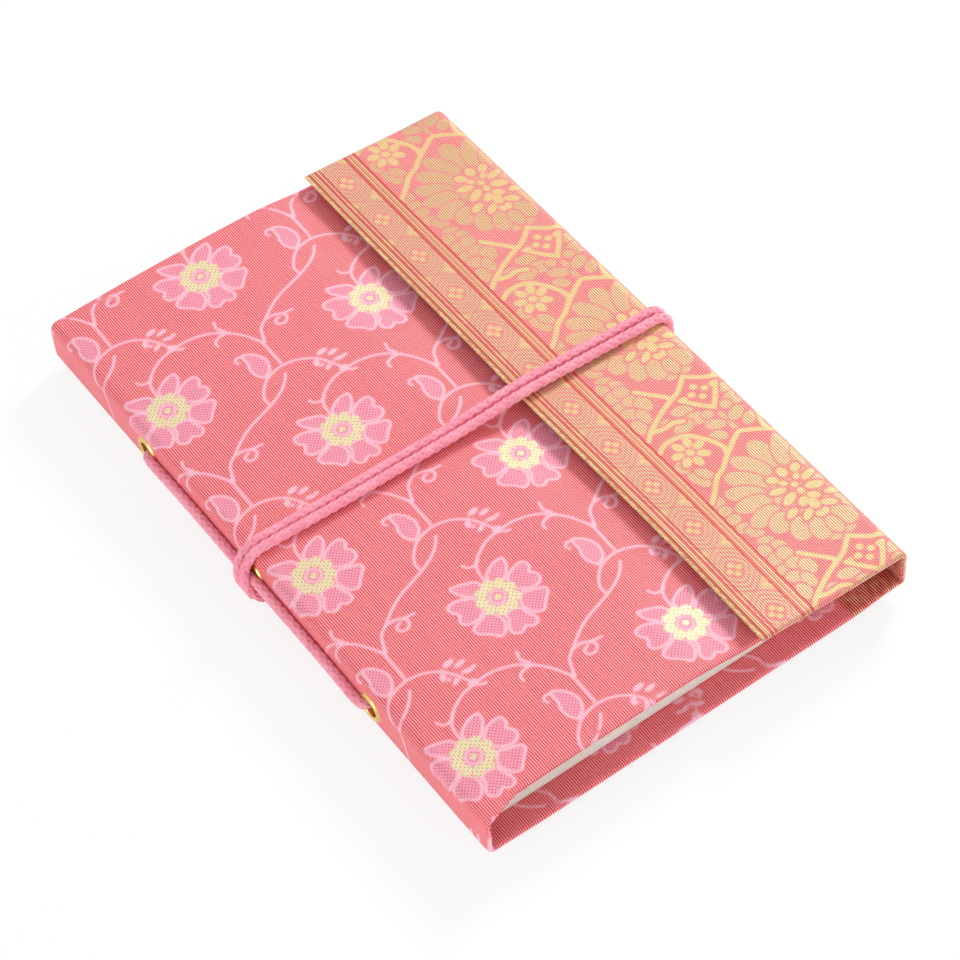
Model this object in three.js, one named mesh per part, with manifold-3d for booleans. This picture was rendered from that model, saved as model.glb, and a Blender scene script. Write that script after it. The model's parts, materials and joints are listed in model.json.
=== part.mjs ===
// Soft wrap-cover notebook bound in brocade cloth, with a spine cord and a wound tie.
// Millimetres. X runs from the spine to the fore-edge, Y from tail to head, Z up.
// The part stands on the flattened underside of the tie, at Z = 0.

import * as THREE from 'three';
import { mergeVertices } from 'three/addons/utils/BufferGeometryUtils.js';
import Module from 'manifold-3d';

const wasm = await Module();
wasm.setup();

// Driving dimensions, in millimetres
const bookWidth = 119;
const bookHeight = 183;
const spineHeight = 13;
const frontCrown = 14;
const flapWidth = 42.5;
const cordDiameter = 2.5;
const eyeletSpacing = 47;
const sectionCount = 6;
const movingSections = 3;

// Layers of the cover, from the outside in
const clothThickness = 0.35;
const cardThickness = 0.8;
const liningThickness = 0.25;
const glueLine = 0.05;
const coverThickness = clothThickness + cardThickness + liningThickness + 2 * glueLine;

// Folds of the wrap and margins inside it
const creaseRadius = 2.5;
const creaseSteps = 6;
const hingeGap = 2.5;
const clothTurnIn = 15;
const cardInset = 1;
const frontRecessTail = 2.5;
const frontRecessHead = 0.3;
const frontShift = (frontRecessTail - frontRecessHead) / 2;
const frontForeEdge = bookWidth - 6;
const liningMargin = 0.1;
const flapStart = bookWidth - flapWidth;
const flapGap = 0.3;
const flapEdgeLift = 0.3;
const sampleStep = 4;

// Page block
const pageRecess = 5.6;
const pageForeEdge = bookWidth - 9;
const pageClearance = 0.3;
const sectionGap = 0.08;
const pageBottom = coverThickness + 0.1;
const foldHeight = spineHeight - 3.1;

// Eyelets
const eyeletFlangeRadius = 3.95;
const eyeletFlangeHeight = 0.6;
const eyeletHoleRadius = 2.75;
const eyeletWall = 0.2;
const eyeletClearance = 0.1;
const washerThickness = 0.3;
const washerRadius = 3.9;
const rollHeight = 0.25;
const roundSteps = 24;
const eyeletZ = spineHeight / 2;

// Cord routes
const cordRadius = cordDiameter / 2;
const cordSides = 8;
const cordGap = 0.1;
const meetingGap = 0.3;
const strandOffset = cordRadius + 0.15;
const cordFlat = cordDiameter / 10;
const bendSteps = 4;
const underZ = -cordGap - cordRadius;
const restZ = underZ - cordRadius + cordFlat;
const besideSpineX = -eyeletFlangeHeight - 0.15 - cordRadius;
const insideX = coverThickness + washerThickness + rollHeight + 0.3 + cordRadius;
const pageStart = insideX + cordRadius + 0.3;

// Finishes
const finish = (color, roughness, metalness = 0) =>
  new THREE.MeshStandardMaterial({ color, roughness, metalness });
const cloth = () => finish(0xee6e6c, 0.55);
const borderCloth = () => finish(0xdcb678, 0.45, 0.2);
const card = () => finish(0xb9a58a, 0.9);
const lining = () => finish(0xc93f4e, 0.75);
const paper = () => finish(0xece6da, 0.92);
const brass = () => finish(0xd9b25e, 0.3, 0.95);
const cotton = () => finish(0xf08fa9, 0.85);

const notebook = new THREE.Group();

// Adds one named piece
function addPiece(name, geometry, material) {
  const mesh = new THREE.Mesh(geometry, material);
  mesh.name = name;
  notebook.add(mesh);
}

// A closed geometry as a solid for cutting
function toSolid(geometry) {
  const bare = geometry.clone();
  bare.deleteAttribute('normal');
  bare.deleteAttribute('uv');
  const merged = mergeVertices(bare, 1e-4);
  return new wasm.Manifold(new wasm.Mesh({
    numProp: 3,
    vertProperties: Float32Array.from(merged.attributes.position.array),
    triVerts: Uint32Array.from(merged.index.array),
  }));
}

// A solid back as a geometry with flat shading normals
function toGeometry(solid) {
  const mesh = solid.getMesh();
  const indexed = new THREE.BufferGeometry();
  indexed.setAttribute('position', new THREE.BufferAttribute(mesh.vertProperties, 3));
  indexed.setIndex(new THREE.BufferAttribute(mesh.triVerts, 1));
  const geometry = indexed.toNonIndexed();
  geometry.computeVertexNormals();
  return geometry;
}

// The first geometry less all the others
function cut(geometry, tools) {
  let solid = toSolid(geometry);
  for (const tool of tools) {
    solid = solid.subtract(toSolid(tool));
  }
  return toGeometry(solid);
}

// A box between two corners
function boxBetween(low, high) {
  const size = high.map((value, i) => value - low[i]);
  const box = new THREE.BoxGeometry(...size);
  return box.translate(...high.map((value, i) => (value + low[i]) / 2));
}

// A height over x through chosen points, straight between the stations of every layer
function heightThrough(points) {
  const places = Float64Array.from(points, (point) => point[0]);
  const heights = Float64Array.from(points, (point) => point[1]);
  const curve = new THREE.CubicInterpolant(places, heights, 1, new Float64Array(1));
  const at = (x) => curve.evaluate(x)[0];
  return (x) => {
    const before = Math.floor(x / sampleStep) * sampleStep;
    const share = (x - before) / sampleStep;
    return (1 - share) * at(before) + share * at(before + sampleStep);
  };
}

// Stations along x, the same ones for every layer
function stations(from, to) {
  const list = [from];
  for (let x = Math.ceil(from / sampleStep) * sampleStep; x < to; x += sampleStep) {
    if (x - from > 1e-3 && to - x > 1e-3) list.push(x);
  }
  list.push(to);
  return list;
}

// A profile in x and z, drawn along y from one place to another
function extrudeAlongY(profile, fromY, toY) {
  const shape = new THREE.Shape(profile.map(([x, z]) => new THREE.Vector2(x, z)));
  const options = { depth: toY - fromY, bevelEnabled: false, steps: 1 };
  const geometry = new THREE.ExtrudeGeometry(shape, options);
  return geometry.rotateX(Math.PI / 2).translate(0, toY, 0);
}

// A layer that follows a height, between two depths under it
function layer(height, fromX, toX, upper, lower, halfLength) {
  const xs = stations(fromX, toX);
  const bottom = xs.map((x) => [x, height(x) - lower]);
  const top = xs.map((x) => [x, height(x) - upper]).reverse();
  return extrudeAlongY([...bottom, ...top], -halfLength, halfLength);
}

// Cover cloth over a layer: outer face, turned edges, and turn-ins round an open window
function clothPanel(height, fromX, toX, halfLength, turned) {
  const past = 1;
  const pocketEnd = turned ? toX - clothThickness : toX + past;
  const windowEnd = turned ? toX - clothTurnIn : toX + past;
  const inner = coverThickness - liningThickness;
  const slab = layer(height, fromX, toX, 0, coverThickness, halfLength);
  const pocketLength = halfLength - clothThickness;
  const pocket = layer(height, fromX - past, pocketEnd, clothThickness, inner, pocketLength);
  const open = halfLength - clothTurnIn;
  const window = layer(height, fromX - past, windowEnd, inner - 0.01, coverThickness + past, open);
  return cut(slab, [pocket, window]);
}

// Outline of the fold round the spine, between two depths, closed at x = end
function foldOutline(outer, inner, end) {
  const side = (depth) => {
    const radius = creaseRadius - depth;
    const points = [[end, depth]];
    for (let i = 0; i <= creaseSteps; i += 1) {
      const angle = (i / creaseSteps) * Math.PI / 2;
      points.push([creaseRadius - radius * Math.sin(angle), creaseRadius - radius * Math.cos(angle)]);
    }
    const upper = points.map(([x, z]) => [x, spineHeight - z]).reverse();
    return [...points, ...upper];
  };
  const tidy = (points) => points.filter(([x, z], i) =>
    i === 0 || Math.hypot(x - points[i - 1][0], z - points[i - 1][1]) > 1e-6);
  return tidy([...side(outer), ...side(inner).reverse()]);
}

// Cloth round the spine fold, turned in at head and tail
function clothFold(halfLength) {
  const past = creaseRadius + 1;
  const inner = coverThickness - liningThickness;
  const slab = extrudeAlongY(foldOutline(0, coverThickness, creaseRadius), -halfLength, halfLength);
  const pocketLength = halfLength - clothThickness;
  const pocket = extrudeAlongY(foldOutline(clothThickness, inner, past), -pocketLength, pocketLength);
  const open = halfLength - clothTurnIn;
  const window = boxBetween([inner - 0.01, -open, inner - 0.01],
    [past, open, spineHeight - inner + 0.01]);
  return cut(slab, [pocket, window]);
}

// The same geometry on the fore-edge side
function mirrored(geometry) {
  const solid = toSolid(geometry).mirror([1, 0, 0]).translate([bookWidth, 0, 0]);
  return toGeometry(solid);
}

// A straight stiffener or liner inside the fold
function foldStrip(outer, inner, halfLength) {
  const margin = creaseRadius + 0.1;
  return boxBetween([outer, -halfLength, margin], [inner, halfLength, spineHeight - margin]);
}

// A hole through the spine for an eyelet
function eyeletHole(y) {
  const radius = eyeletHoleRadius + eyeletWall + eyeletClearance;
  const hole = new THREE.CylinderGeometry(radius, radius, 3 * coverThickness, roundSteps);
  return hole.rotateZ(Math.PI / 2).translate(0.5 * coverThickness, y, eyeletZ);
}

// A ring about the X axis from a closed profile of radius and x
function ringAlongX(profile, y) {
  const points = [...profile, profile[0]].map(([r, x]) => new THREE.Vector2(r, x));
  const ring = new THREE.LatheGeometry(points, roundSteps);
  return ring.rotateZ(-Math.PI / 2).translate(0, y, eyeletZ);
}

// Flange outside, barrel through the cover, rolled edge inside
function eyelet(y) {
  const bore = eyeletHoleRadius;
  const barrel = bore + eyeletWall;
  const back = coverThickness + washerThickness;
  return ringAlongX([
    [bore, back + rollHeight],
    [bore, -eyeletFlangeHeight * 0.6],
    [bore + 0.25, -eyeletFlangeHeight * 0.95],
    [bore + 0.7, -eyeletFlangeHeight],
    [eyeletFlangeRadius - 0.3, -eyeletFlangeHeight * 0.6],
    [eyeletFlangeRadius, 0],
    [barrel, 0],
    [barrel, back],
    [barrel + 0.5, back],
    [barrel + 0.4, back + rollHeight],
  ], y);
}

// Flat washer under the rolled edge
function washer(y) {
  const inner = eyeletHoleRadius + eyeletWall + eyeletClearance;
  const back = coverThickness + washerThickness;
  return ringAlongX([
    [inner, back],
    [inner, coverThickness],
    [washerRadius, coverThickness],
    [washerRadius, back],
  ], y);
}

// A route with stations only where it bends
class CordRoute extends THREE.Curve {
  constructor(places) {
    super();
    this.places = places;
  }

  getPoint(t, target = new THREE.Vector3()) {
    const last = this.places.length - 1;
    const i = Math.min(last - 1, Math.floor(t * last + 1e-9));
    return target.lerpVectors(this.places[i], this.places[i + 1], t * last - i);
  }

  getPointAt(u, target) {
    return this.getPoint(u, target);
  }

  getTangentAt(u, target = new THREE.Vector3()) {
    const last = this.places.length - 1;
    const i = Math.round(u * last);
    const before = this.places[Math.max(0, i - 1)];
    const after = this.places[Math.min(last, i + 1)];
    return target.subVectors(after, before).normalize();
  }
}

// Rounds each corner of a route given as [x, y, z, trim]
function roundedRoute(corners) {
  const points = corners.map(([x, y, z]) => new THREE.Vector3(x, y, z));
  const places = [points[0]];
  for (let i = 1; i < points.length - 1; i += 1) {
    const trim = corners[i][3];
    const back = points[i - 1].clone().sub(points[i]).setLength(trim).add(points[i]);
    const ahead = points[i + 1].clone().sub(points[i]).setLength(trim).add(points[i]);
    const bend = new THREE.QuadraticBezierCurve3(back, points[i], ahead);
    places.push(...bend.getPoints(bendSteps));
  }
  places.push(points[points.length - 1]);
  return new CordRoute(places);
}

// A cord along a route, flat where it would reach under the rest plane
function cordAlong(corners, cutFlat) {
  const route = roundedRoute(corners);
  const section = new THREE.Shape();
  for (let i = 0; i < cordSides; i += 1) {
    const angle = ((i + 0.5) / cordSides) * 2 * Math.PI;
    const point = [cordRadius * Math.cos(angle), cordRadius * Math.sin(angle)];
    if (i === 0) section.moveTo(...point);
    else section.lineTo(...point);
  }
  const steps = route.places.length - 1;
  const cord = new THREE.ExtrudeGeometry(section, { steps, extrudePath: route });
  if (!cutFlat) return cord;
  const wide = 2 * bookWidth;
  return cut(cord, [boxBetween([-wide, -wide, restZ - wide], [wide, wide, restZ])]);
}

// Heights of the front cover, the flap and the page block over x
const spread = frontCrown - spineHeight;
const overFront = coverThickness + flapGap;
const frontHeight = heightThrough([
  [creaseRadius, spineHeight],
  [0.1 * bookWidth, spineHeight + 0.6 * spread],
  [0.28 * bookWidth, frontCrown],
  [0.46 * bookWidth, spineHeight + 0.65 * spread],
  [flapStart, spineHeight - 0.1],
  [0.84 * bookWidth, spineHeight - 0.65 * overFront],
  [frontForeEdge, spineHeight - overFront - 0.1],
]);
const flapHeight = heightThrough([
  [flapStart, frontHeight(flapStart) + overFront + flapEdgeLift],
  [flapStart + 0.32 * flapWidth, frontHeight(flapStart + 0.32 * flapWidth) + overFront + 0.2],
  [flapStart + 0.62 * flapWidth, frontHeight(flapStart + 0.62 * flapWidth) + overFront + 0.1],
  [bookWidth - creaseRadius, spineHeight],
]);
const belowFront = coverThickness + pageClearance;
const blockHeight = heightThrough([
  [pageStart, foldHeight],
  [0.13 * bookWidth, foldHeight + 1.2],
  [0.27 * bookWidth, frontHeight(0.27 * bookWidth) - belowFront - 0.6],
  [0.42 * bookWidth, frontHeight(0.42 * bookWidth) - belowFront - 0.1],
  [flapStart, frontHeight(flapStart) - belowFront - 0.1],
  [0.84 * bookWidth, frontHeight(0.84 * bookWidth) - belowFront - 0.1],
  [pageForeEdge, frontHeight(pageForeEdge) - belowFront - 0.25],
]);
const backHeight = () => coverThickness;

// Back cover, with its own layers counted down from its inner face
const halfBook = bookHeight / 2;
const halfCard = halfBook - cardInset;
const halfLining = halfBook - clothTurnIn - liningMargin;
const foreCrease = bookWidth - creaseRadius;
const cardStart = creaseRadius + hingeGap;
const clothInner = clothThickness + glueLine;
const liningOuter = clothInner + cardThickness + glueLine;

// The back cover is the front cover's panel turned over
function turnedOver(geometry) {
  const solid = toSolid(geometry).mirror([0, 0, 1]).translate([0, 0, coverThickness]);
  return toGeometry(solid);
}

function addBackCover() {
  const fabric = clothPanel(backHeight, creaseRadius, foreCrease, halfBook, false);
  addPiece('back_fabric', turnedOver(fabric), cloth());
  const cardEnd = bookWidth - cardStart;
  const board = boxBetween([cardStart, -halfCard, clothInner],
    [cardEnd, halfCard, clothInner + cardThickness]);
  addPiece('back_card', board, card());
  const sheet = boxBetween([cardStart, -halfLining, liningOuter],
    [cardEnd, halfLining, coverThickness]);
  addPiece('back_endpaper', sheet, lining());
}

function addFrontCover() {
  const half = halfBook - (frontRecessTail + frontRecessHead) / 2;
  const fabric = clothPanel(frontHeight, creaseRadius, frontForeEdge, half, true);
  addPiece('front_fabric', fabric.translate(0, frontShift, 0), cloth());
  const cardEnd = frontForeEdge - cardInset;
  const boardHalf = half - cardInset;
  const boardBottom = clothInner + cardThickness;
  const board = layer(frontHeight, cardStart, cardEnd, clothInner, boardBottom, boardHalf);
  addPiece('front_card', board.translate(0, frontShift, 0), card());
  const sheetEnd = frontForeEdge - clothTurnIn - liningMargin;
  const sheetHalf = half - clothTurnIn - liningMargin;
  const sheet = layer(frontHeight, cardStart, sheetEnd, liningOuter, coverThickness, sheetHalf);
  addPiece('front_endpaper', sheet.translate(0, frontShift, 0), lining());
}

function addFlap() {
  const past = 1;
  const inner = coverThickness - liningThickness;
  const slab = layer(flapHeight, flapStart, foreCrease, 0, coverThickness, halfBook);
  const pocketHalf = halfBook - clothThickness;
  const pocket = layer(flapHeight, flapStart - past, foreCrease + past, clothThickness, inner,
    pocketHalf);
  const openHalf = halfBook - clothTurnIn;
  const window = layer(flapHeight, flapStart - past, foreCrease + past, inner - 0.01,
    coverThickness + past, openHalf);
  addPiece('flap_fabric', cut(slab, [pocket, window]), borderCloth());
  const cardEnd = bookWidth - cardStart;
  const boardStart = flapStart + 1.5;
  const boardBottom = clothInner + cardThickness;
  const board = layer(flapHeight, boardStart, cardEnd, clothInner, boardBottom, halfCard);
  addPiece('flap_card', board, card());
  const sheet = layer(flapHeight, flapStart + 0.5, cardEnd, liningOuter, coverThickness, halfLining);
  addPiece('flap_lining', sheet, lining());
}

const eyeletPlaces = { head: eyeletSpacing, middle: 0, tail: -eyeletSpacing };

function addSpine() {
  const holes = Object.values(eyeletPlaces).map(eyeletHole);
  addPiece('spine_fabric', cut(clothFold(halfBook), holes), cloth());
  const board = foldStrip(clothInner, clothInner + cardThickness, halfCard);
  addPiece('spine_card', cut(board, holes), card());
  const liner = foldStrip(liningOuter, coverThickness, halfLining);
  addPiece('spine_lining', cut(liner, holes), lining());
  for (const [place, y] of Object.entries(eyeletPlaces)) {
    addPiece(`eyelet_${place}`, eyelet(y), brass());
    addPiece(`washer_${place}`, washer(y), brass());
  }
}

function addForeEdge() {
  addPiece('fore_edge_fabric', mirrored(clothFold(halfBook)), borderCloth());
  const board = foldStrip(clothInner, clothInner + cardThickness, halfCard);
  addPiece('fore_edge_card', mirrored(board), card());
  const liner = foldStrip(liningOuter, coverThickness, halfLining);
  addPiece('fore_edge_lining', mirrored(liner), lining());
}

// Folded sections of paper, the first one uppermost
function addSections() {
  const half = halfBook - pageRecess;
  const xs = stations(pageStart, pageForeEdge);
  const level = (x, share) => pageBottom + share * (blockHeight(x) - pageBottom);
  for (let k = 1; k <= sectionCount; k += 1) {
    const low = (sectionCount - k) / sectionCount;
    const high = (sectionCount - k + 1) / sectionCount;
    const bottom = xs.map((x) => [x, level(x, low) + sectionGap / 2]);
    const top = xs.map((x) => [x, level(x, high) - sectionGap / 2]).reverse();
    const section = extrudeAlongY([...bottom, ...top], -half, half);
    addPiece(`section_${k}`, section.translate(0, frontShift, 0), paper());
  }
}

// The cord behind the tie: through the three eyelets, both ends down under the spine
function addSpineCord() {
  const corner = 2;
  const holeY = eyeletSpacing - 1.2;
  const crossX = besideSpineX - 1;
  const crossZ = eyeletZ + 1.9;
  const startX = creaseRadius - meetingGap / 2;
  const headHalf = [
    [startX, strandOffset, underZ],
    [besideSpineX, strandOffset, underZ, 3],
    [besideSpineX, strandOffset, eyeletZ, corner],
    [insideX, strandOffset, eyeletZ, corner],
    [insideX, holeY, eyeletZ, corner],
    [besideSpineX, holeY, eyeletZ, corner],
    [crossX, 6, crossZ, 4],
  ];
  const tailHalf = headHalf.map(([x, y, z, trim]) => [x, -y, z, trim]).reverse();
  addPiece('cord_spine', cordAlong([...headHalf, ...tailHalf], true), cotton());
}

// One strand of the tie: under the back, round the fore-edge, over the front to the spine
function addTieStrand(letter, y) {
  const under = [
    [creaseRadius + meetingGap / 2, y, underZ],
    [foreCrease - meetingGap / 2, y, underZ],
  ];
  addPiece(`tie_back_${letter}`, cordAlong(under, true), cotton());
  const outX = bookWidth + cordGap + cordRadius;
  const overZ = spineHeight + cordGap + cordRadius;
  const round = creaseRadius + cordRadius;
  const edge = [
    [foreCrease + meetingGap / 2, y, underZ],
    [outX, y, underZ, round],
    [outX, y, overZ, round],
    [foreCrease + meetingGap / 2, y, overZ],
  ];
  addPiece(`tie_fore_edge_${letter}`, cordAlong(edge, true), cotton());
  const lift = cordRadius + 0.2;
  const crossX = besideSpineX - 1 - cordDiameter - 0.5;
  const over = [
    [foreCrease - meetingGap / 2, y, overZ],
    [foreCrease - 6, y, flapHeight(foreCrease - 6) + lift, 2],
    [flapStart + 18, y, flapHeight(flapStart + 18) + lift + 0.1, 6],
    [flapStart - 0.5, y, flapHeight(flapStart) + lift, 4],
    [0.36 * bookWidth, y, frontHeight(0.36 * bookWidth) + lift + 0.1, 8],
    [0.19 * bookWidth, y, frontHeight(0.19 * bookWidth) + lift + 0.2, 6],
    [0.07 * bookWidth, y + 0.6, frontHeight(0.07 * bookWidth) + lift + 0.2, 3],
    [besideSpineX + 0.4, y + 1.2, spineHeight + 1.6, 3],
    [crossX, y + 0.8, eyeletZ + 2.1, 2],
    [crossX + 0.9, y - 0.9, eyeletZ - 2.9],
  ];
  addPiece(`tie_flap_${letter}`, cordAlong(over, false), cotton());
}

addBackCover();
addSpine();
addSections();
addFrontCover();
addForeEdge();
addFlap();
addSpineCord();
addTieStrand('a', strandOffset);
addTieStrand('b', -strandOffset);

// Centres the footprint and lifts the part so that the tie's flat underside is at Z = 0
const span = new THREE.Box3().setFromObject(notebook);
const middle = span.getCenter(new THREE.Vector3());
for (const mesh of notebook.children) {
  mesh.position.set(-middle.x, 0, -restZ);
}

// Fold axes and other places that the record states, in the centred frame
const turnedSections = 1 - movingSections / sectionCount;
const pageAxisZ = pageBottom + turnedSections * (foldHeight - pageBottom) + 0.5;
export const places = {
  shiftX: -middle.x,
  shiftZ: -restZ,
  spineCrease: [creaseRadius - middle.x, creaseRadius - restZ],
  coverCrease: [creaseRadius - middle.x, spineHeight - creaseRadius - restZ],
  pageAxis: [pageStart - middle.x, pageAxisZ - restZ],
  foreCrease: [foreCrease - middle.x, creaseRadius - restZ],
  flapCrease: [foreCrease - middle.x, spineHeight - creaseRadius - restZ],
};

export default notebook;
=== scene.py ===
"""Soft-cover notebook in woven brocade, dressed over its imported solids.

Sizes in the classes are millimetres in the book's own frame: X from the spine's outer face to the
fore-edge, Y from the tail to the head, Z up from the back cover's outer face. `Book.place` turns
them into metres in the row frame.

CLOTH_UNIT is the cloth, in millimetres, to one unit of its UV map. NOTHING is what a figure's field
holds where nothing is drawn, and the margins are how far round a shape it is changed. ROUNDING
gives the places of a rounded edge, as shares of its radius. CLEAR_OF_TABLE is the height in metres
that a cord's underside is flattened to.
"""

import json
import logging
import math
from collections.abc import Callable
from dataclasses import dataclass, field
from enum import Enum
from typing import ClassVar

import bmesh
import bpy
import numpy as np
from bpy.types import ID, Material, Mesh, Node, NodeSocket, Object
from mathutils import Matrix, Vector
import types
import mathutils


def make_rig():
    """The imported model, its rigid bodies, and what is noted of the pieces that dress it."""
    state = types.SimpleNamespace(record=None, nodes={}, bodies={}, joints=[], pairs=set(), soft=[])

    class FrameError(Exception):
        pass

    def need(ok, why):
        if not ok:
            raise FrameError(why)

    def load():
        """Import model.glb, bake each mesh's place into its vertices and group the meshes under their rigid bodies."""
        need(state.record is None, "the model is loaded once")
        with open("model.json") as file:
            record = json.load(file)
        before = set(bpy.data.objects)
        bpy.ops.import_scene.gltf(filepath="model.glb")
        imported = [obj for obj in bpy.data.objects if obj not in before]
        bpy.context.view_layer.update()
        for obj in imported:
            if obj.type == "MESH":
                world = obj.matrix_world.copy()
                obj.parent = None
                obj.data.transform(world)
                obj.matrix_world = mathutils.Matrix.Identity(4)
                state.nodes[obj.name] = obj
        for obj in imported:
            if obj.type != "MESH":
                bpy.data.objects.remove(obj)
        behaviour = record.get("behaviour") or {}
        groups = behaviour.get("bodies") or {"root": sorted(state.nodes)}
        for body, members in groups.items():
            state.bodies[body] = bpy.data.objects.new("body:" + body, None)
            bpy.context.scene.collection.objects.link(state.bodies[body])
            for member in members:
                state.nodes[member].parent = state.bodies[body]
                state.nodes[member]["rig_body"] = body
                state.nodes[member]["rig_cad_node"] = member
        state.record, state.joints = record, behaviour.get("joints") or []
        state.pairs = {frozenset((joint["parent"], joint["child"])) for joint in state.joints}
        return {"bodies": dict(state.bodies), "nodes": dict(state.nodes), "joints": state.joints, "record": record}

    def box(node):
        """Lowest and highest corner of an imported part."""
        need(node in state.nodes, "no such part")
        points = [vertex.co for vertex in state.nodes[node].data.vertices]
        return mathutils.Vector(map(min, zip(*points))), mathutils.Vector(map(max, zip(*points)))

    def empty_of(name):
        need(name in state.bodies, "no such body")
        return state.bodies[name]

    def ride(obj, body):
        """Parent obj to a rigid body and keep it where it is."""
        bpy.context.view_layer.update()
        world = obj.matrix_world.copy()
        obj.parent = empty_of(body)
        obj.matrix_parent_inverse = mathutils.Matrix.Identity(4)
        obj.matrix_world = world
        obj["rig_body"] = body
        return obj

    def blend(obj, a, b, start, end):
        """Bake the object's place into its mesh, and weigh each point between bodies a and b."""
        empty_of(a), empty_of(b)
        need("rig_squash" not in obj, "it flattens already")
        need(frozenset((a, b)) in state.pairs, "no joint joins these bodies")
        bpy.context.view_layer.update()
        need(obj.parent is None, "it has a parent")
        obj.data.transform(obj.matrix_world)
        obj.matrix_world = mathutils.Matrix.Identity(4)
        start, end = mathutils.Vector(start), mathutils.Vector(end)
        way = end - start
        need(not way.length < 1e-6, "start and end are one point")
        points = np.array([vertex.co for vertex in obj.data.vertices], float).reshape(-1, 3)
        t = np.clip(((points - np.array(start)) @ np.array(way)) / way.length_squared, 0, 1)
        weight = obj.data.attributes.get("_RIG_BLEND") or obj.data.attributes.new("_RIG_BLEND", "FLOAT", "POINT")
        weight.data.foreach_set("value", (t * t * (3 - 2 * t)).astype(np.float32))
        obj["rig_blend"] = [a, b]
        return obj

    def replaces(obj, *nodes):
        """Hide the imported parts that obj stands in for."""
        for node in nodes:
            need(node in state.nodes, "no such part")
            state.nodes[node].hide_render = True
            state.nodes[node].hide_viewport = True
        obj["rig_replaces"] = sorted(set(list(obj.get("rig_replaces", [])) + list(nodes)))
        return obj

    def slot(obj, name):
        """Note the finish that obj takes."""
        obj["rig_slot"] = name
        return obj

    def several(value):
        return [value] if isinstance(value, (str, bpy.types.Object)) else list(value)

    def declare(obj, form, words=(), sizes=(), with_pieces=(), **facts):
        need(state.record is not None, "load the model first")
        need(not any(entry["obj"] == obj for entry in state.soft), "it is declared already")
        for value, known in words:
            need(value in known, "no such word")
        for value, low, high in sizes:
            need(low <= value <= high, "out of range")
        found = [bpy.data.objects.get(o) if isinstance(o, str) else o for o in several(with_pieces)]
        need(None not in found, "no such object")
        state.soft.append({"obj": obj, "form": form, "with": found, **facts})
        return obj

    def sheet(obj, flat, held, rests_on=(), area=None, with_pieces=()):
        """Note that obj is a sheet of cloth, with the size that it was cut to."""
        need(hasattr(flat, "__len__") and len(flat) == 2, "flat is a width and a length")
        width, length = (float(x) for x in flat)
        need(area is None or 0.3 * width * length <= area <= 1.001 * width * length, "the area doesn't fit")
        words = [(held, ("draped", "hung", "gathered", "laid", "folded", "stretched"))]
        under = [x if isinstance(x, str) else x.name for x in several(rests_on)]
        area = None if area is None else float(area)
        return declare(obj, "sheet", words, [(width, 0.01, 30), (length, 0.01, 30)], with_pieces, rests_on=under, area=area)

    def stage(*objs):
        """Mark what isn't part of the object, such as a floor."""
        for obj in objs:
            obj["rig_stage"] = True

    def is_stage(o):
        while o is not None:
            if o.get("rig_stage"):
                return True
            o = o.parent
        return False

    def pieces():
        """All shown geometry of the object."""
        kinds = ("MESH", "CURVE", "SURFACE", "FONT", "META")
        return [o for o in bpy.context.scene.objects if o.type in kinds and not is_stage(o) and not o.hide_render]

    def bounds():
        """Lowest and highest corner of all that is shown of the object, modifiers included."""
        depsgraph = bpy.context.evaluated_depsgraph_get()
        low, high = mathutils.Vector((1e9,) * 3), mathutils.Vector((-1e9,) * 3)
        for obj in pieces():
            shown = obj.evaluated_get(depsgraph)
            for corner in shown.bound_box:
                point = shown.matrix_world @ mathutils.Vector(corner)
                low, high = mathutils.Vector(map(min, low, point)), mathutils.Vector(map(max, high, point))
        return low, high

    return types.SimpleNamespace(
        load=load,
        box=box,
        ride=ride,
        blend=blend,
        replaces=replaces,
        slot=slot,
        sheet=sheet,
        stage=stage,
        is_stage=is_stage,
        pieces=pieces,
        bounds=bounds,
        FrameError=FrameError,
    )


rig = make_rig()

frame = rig.load()

log = logging.getLogger("notebook")

MM = 0.001
PICTURE = 960
SENSOR = 36.0
CLOTH_UNIT = 100.0
NOTHING = 2.0
LINE_MARGIN, OVAL_MARGIN = 1.4, 1.2
ROUNDING = (0.0, 0.12, 0.45, 1.0)
CLEAR_OF_TABLE = 0.00006


def colour(red: float, green: float, blue: float) -> tuple:
    """A display colour from 0 to 255 as the linear colour that a socket takes."""
    parts = [c / 255.0 for c in (red, green, blue)]
    return (*[c / 12.92 if c <= 0.04045 else ((c + 0.055) / 1.055) ** 2.4 for c in parts], 1.0)


# ---------------------------------------------------------------- sizes and places


@dataclass(frozen=True)
class Sizes:
    """The driving sizes of the book, as the solids have them."""

    width: float = 119.0
    height: float = 183.0
    spine: float = 13.0
    crown: float = 14.0
    flap: float = 42.5
    crease: float = 2.5
    cover: float = 1.5
    flap_gap: float = 0.3
    flap_lift: float = 0.3
    front_short: float = 6.0
    tail_recess: float = 2.5
    head_recess: float = 0.3
    page_recess: float = 5.6
    page_short: float = 9.0
    page_start: float = 5.15
    page_bottom: float = 1.6
    eyelet_spacing: float = 47.0
    turn_in: float = 15.0
    cord: float = 2.5
    tie_dent: float = 0.3
    flap_dent: float = 1.25

    @property
    def half(self) -> float:
        """Half the cover's height."""
        return self.height / 2

    @property
    def flap_start(self) -> float:
        """Where the flap's free edge lies along X."""
        return self.width - self.flap

    @property
    def front_end(self) -> float:
        """Where the front cover ends under the flap."""
        return self.width - self.front_short

    @property
    def eyelet_z(self) -> float:
        """Height of the eyelets' middles."""
        return self.spine / 2


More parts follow.
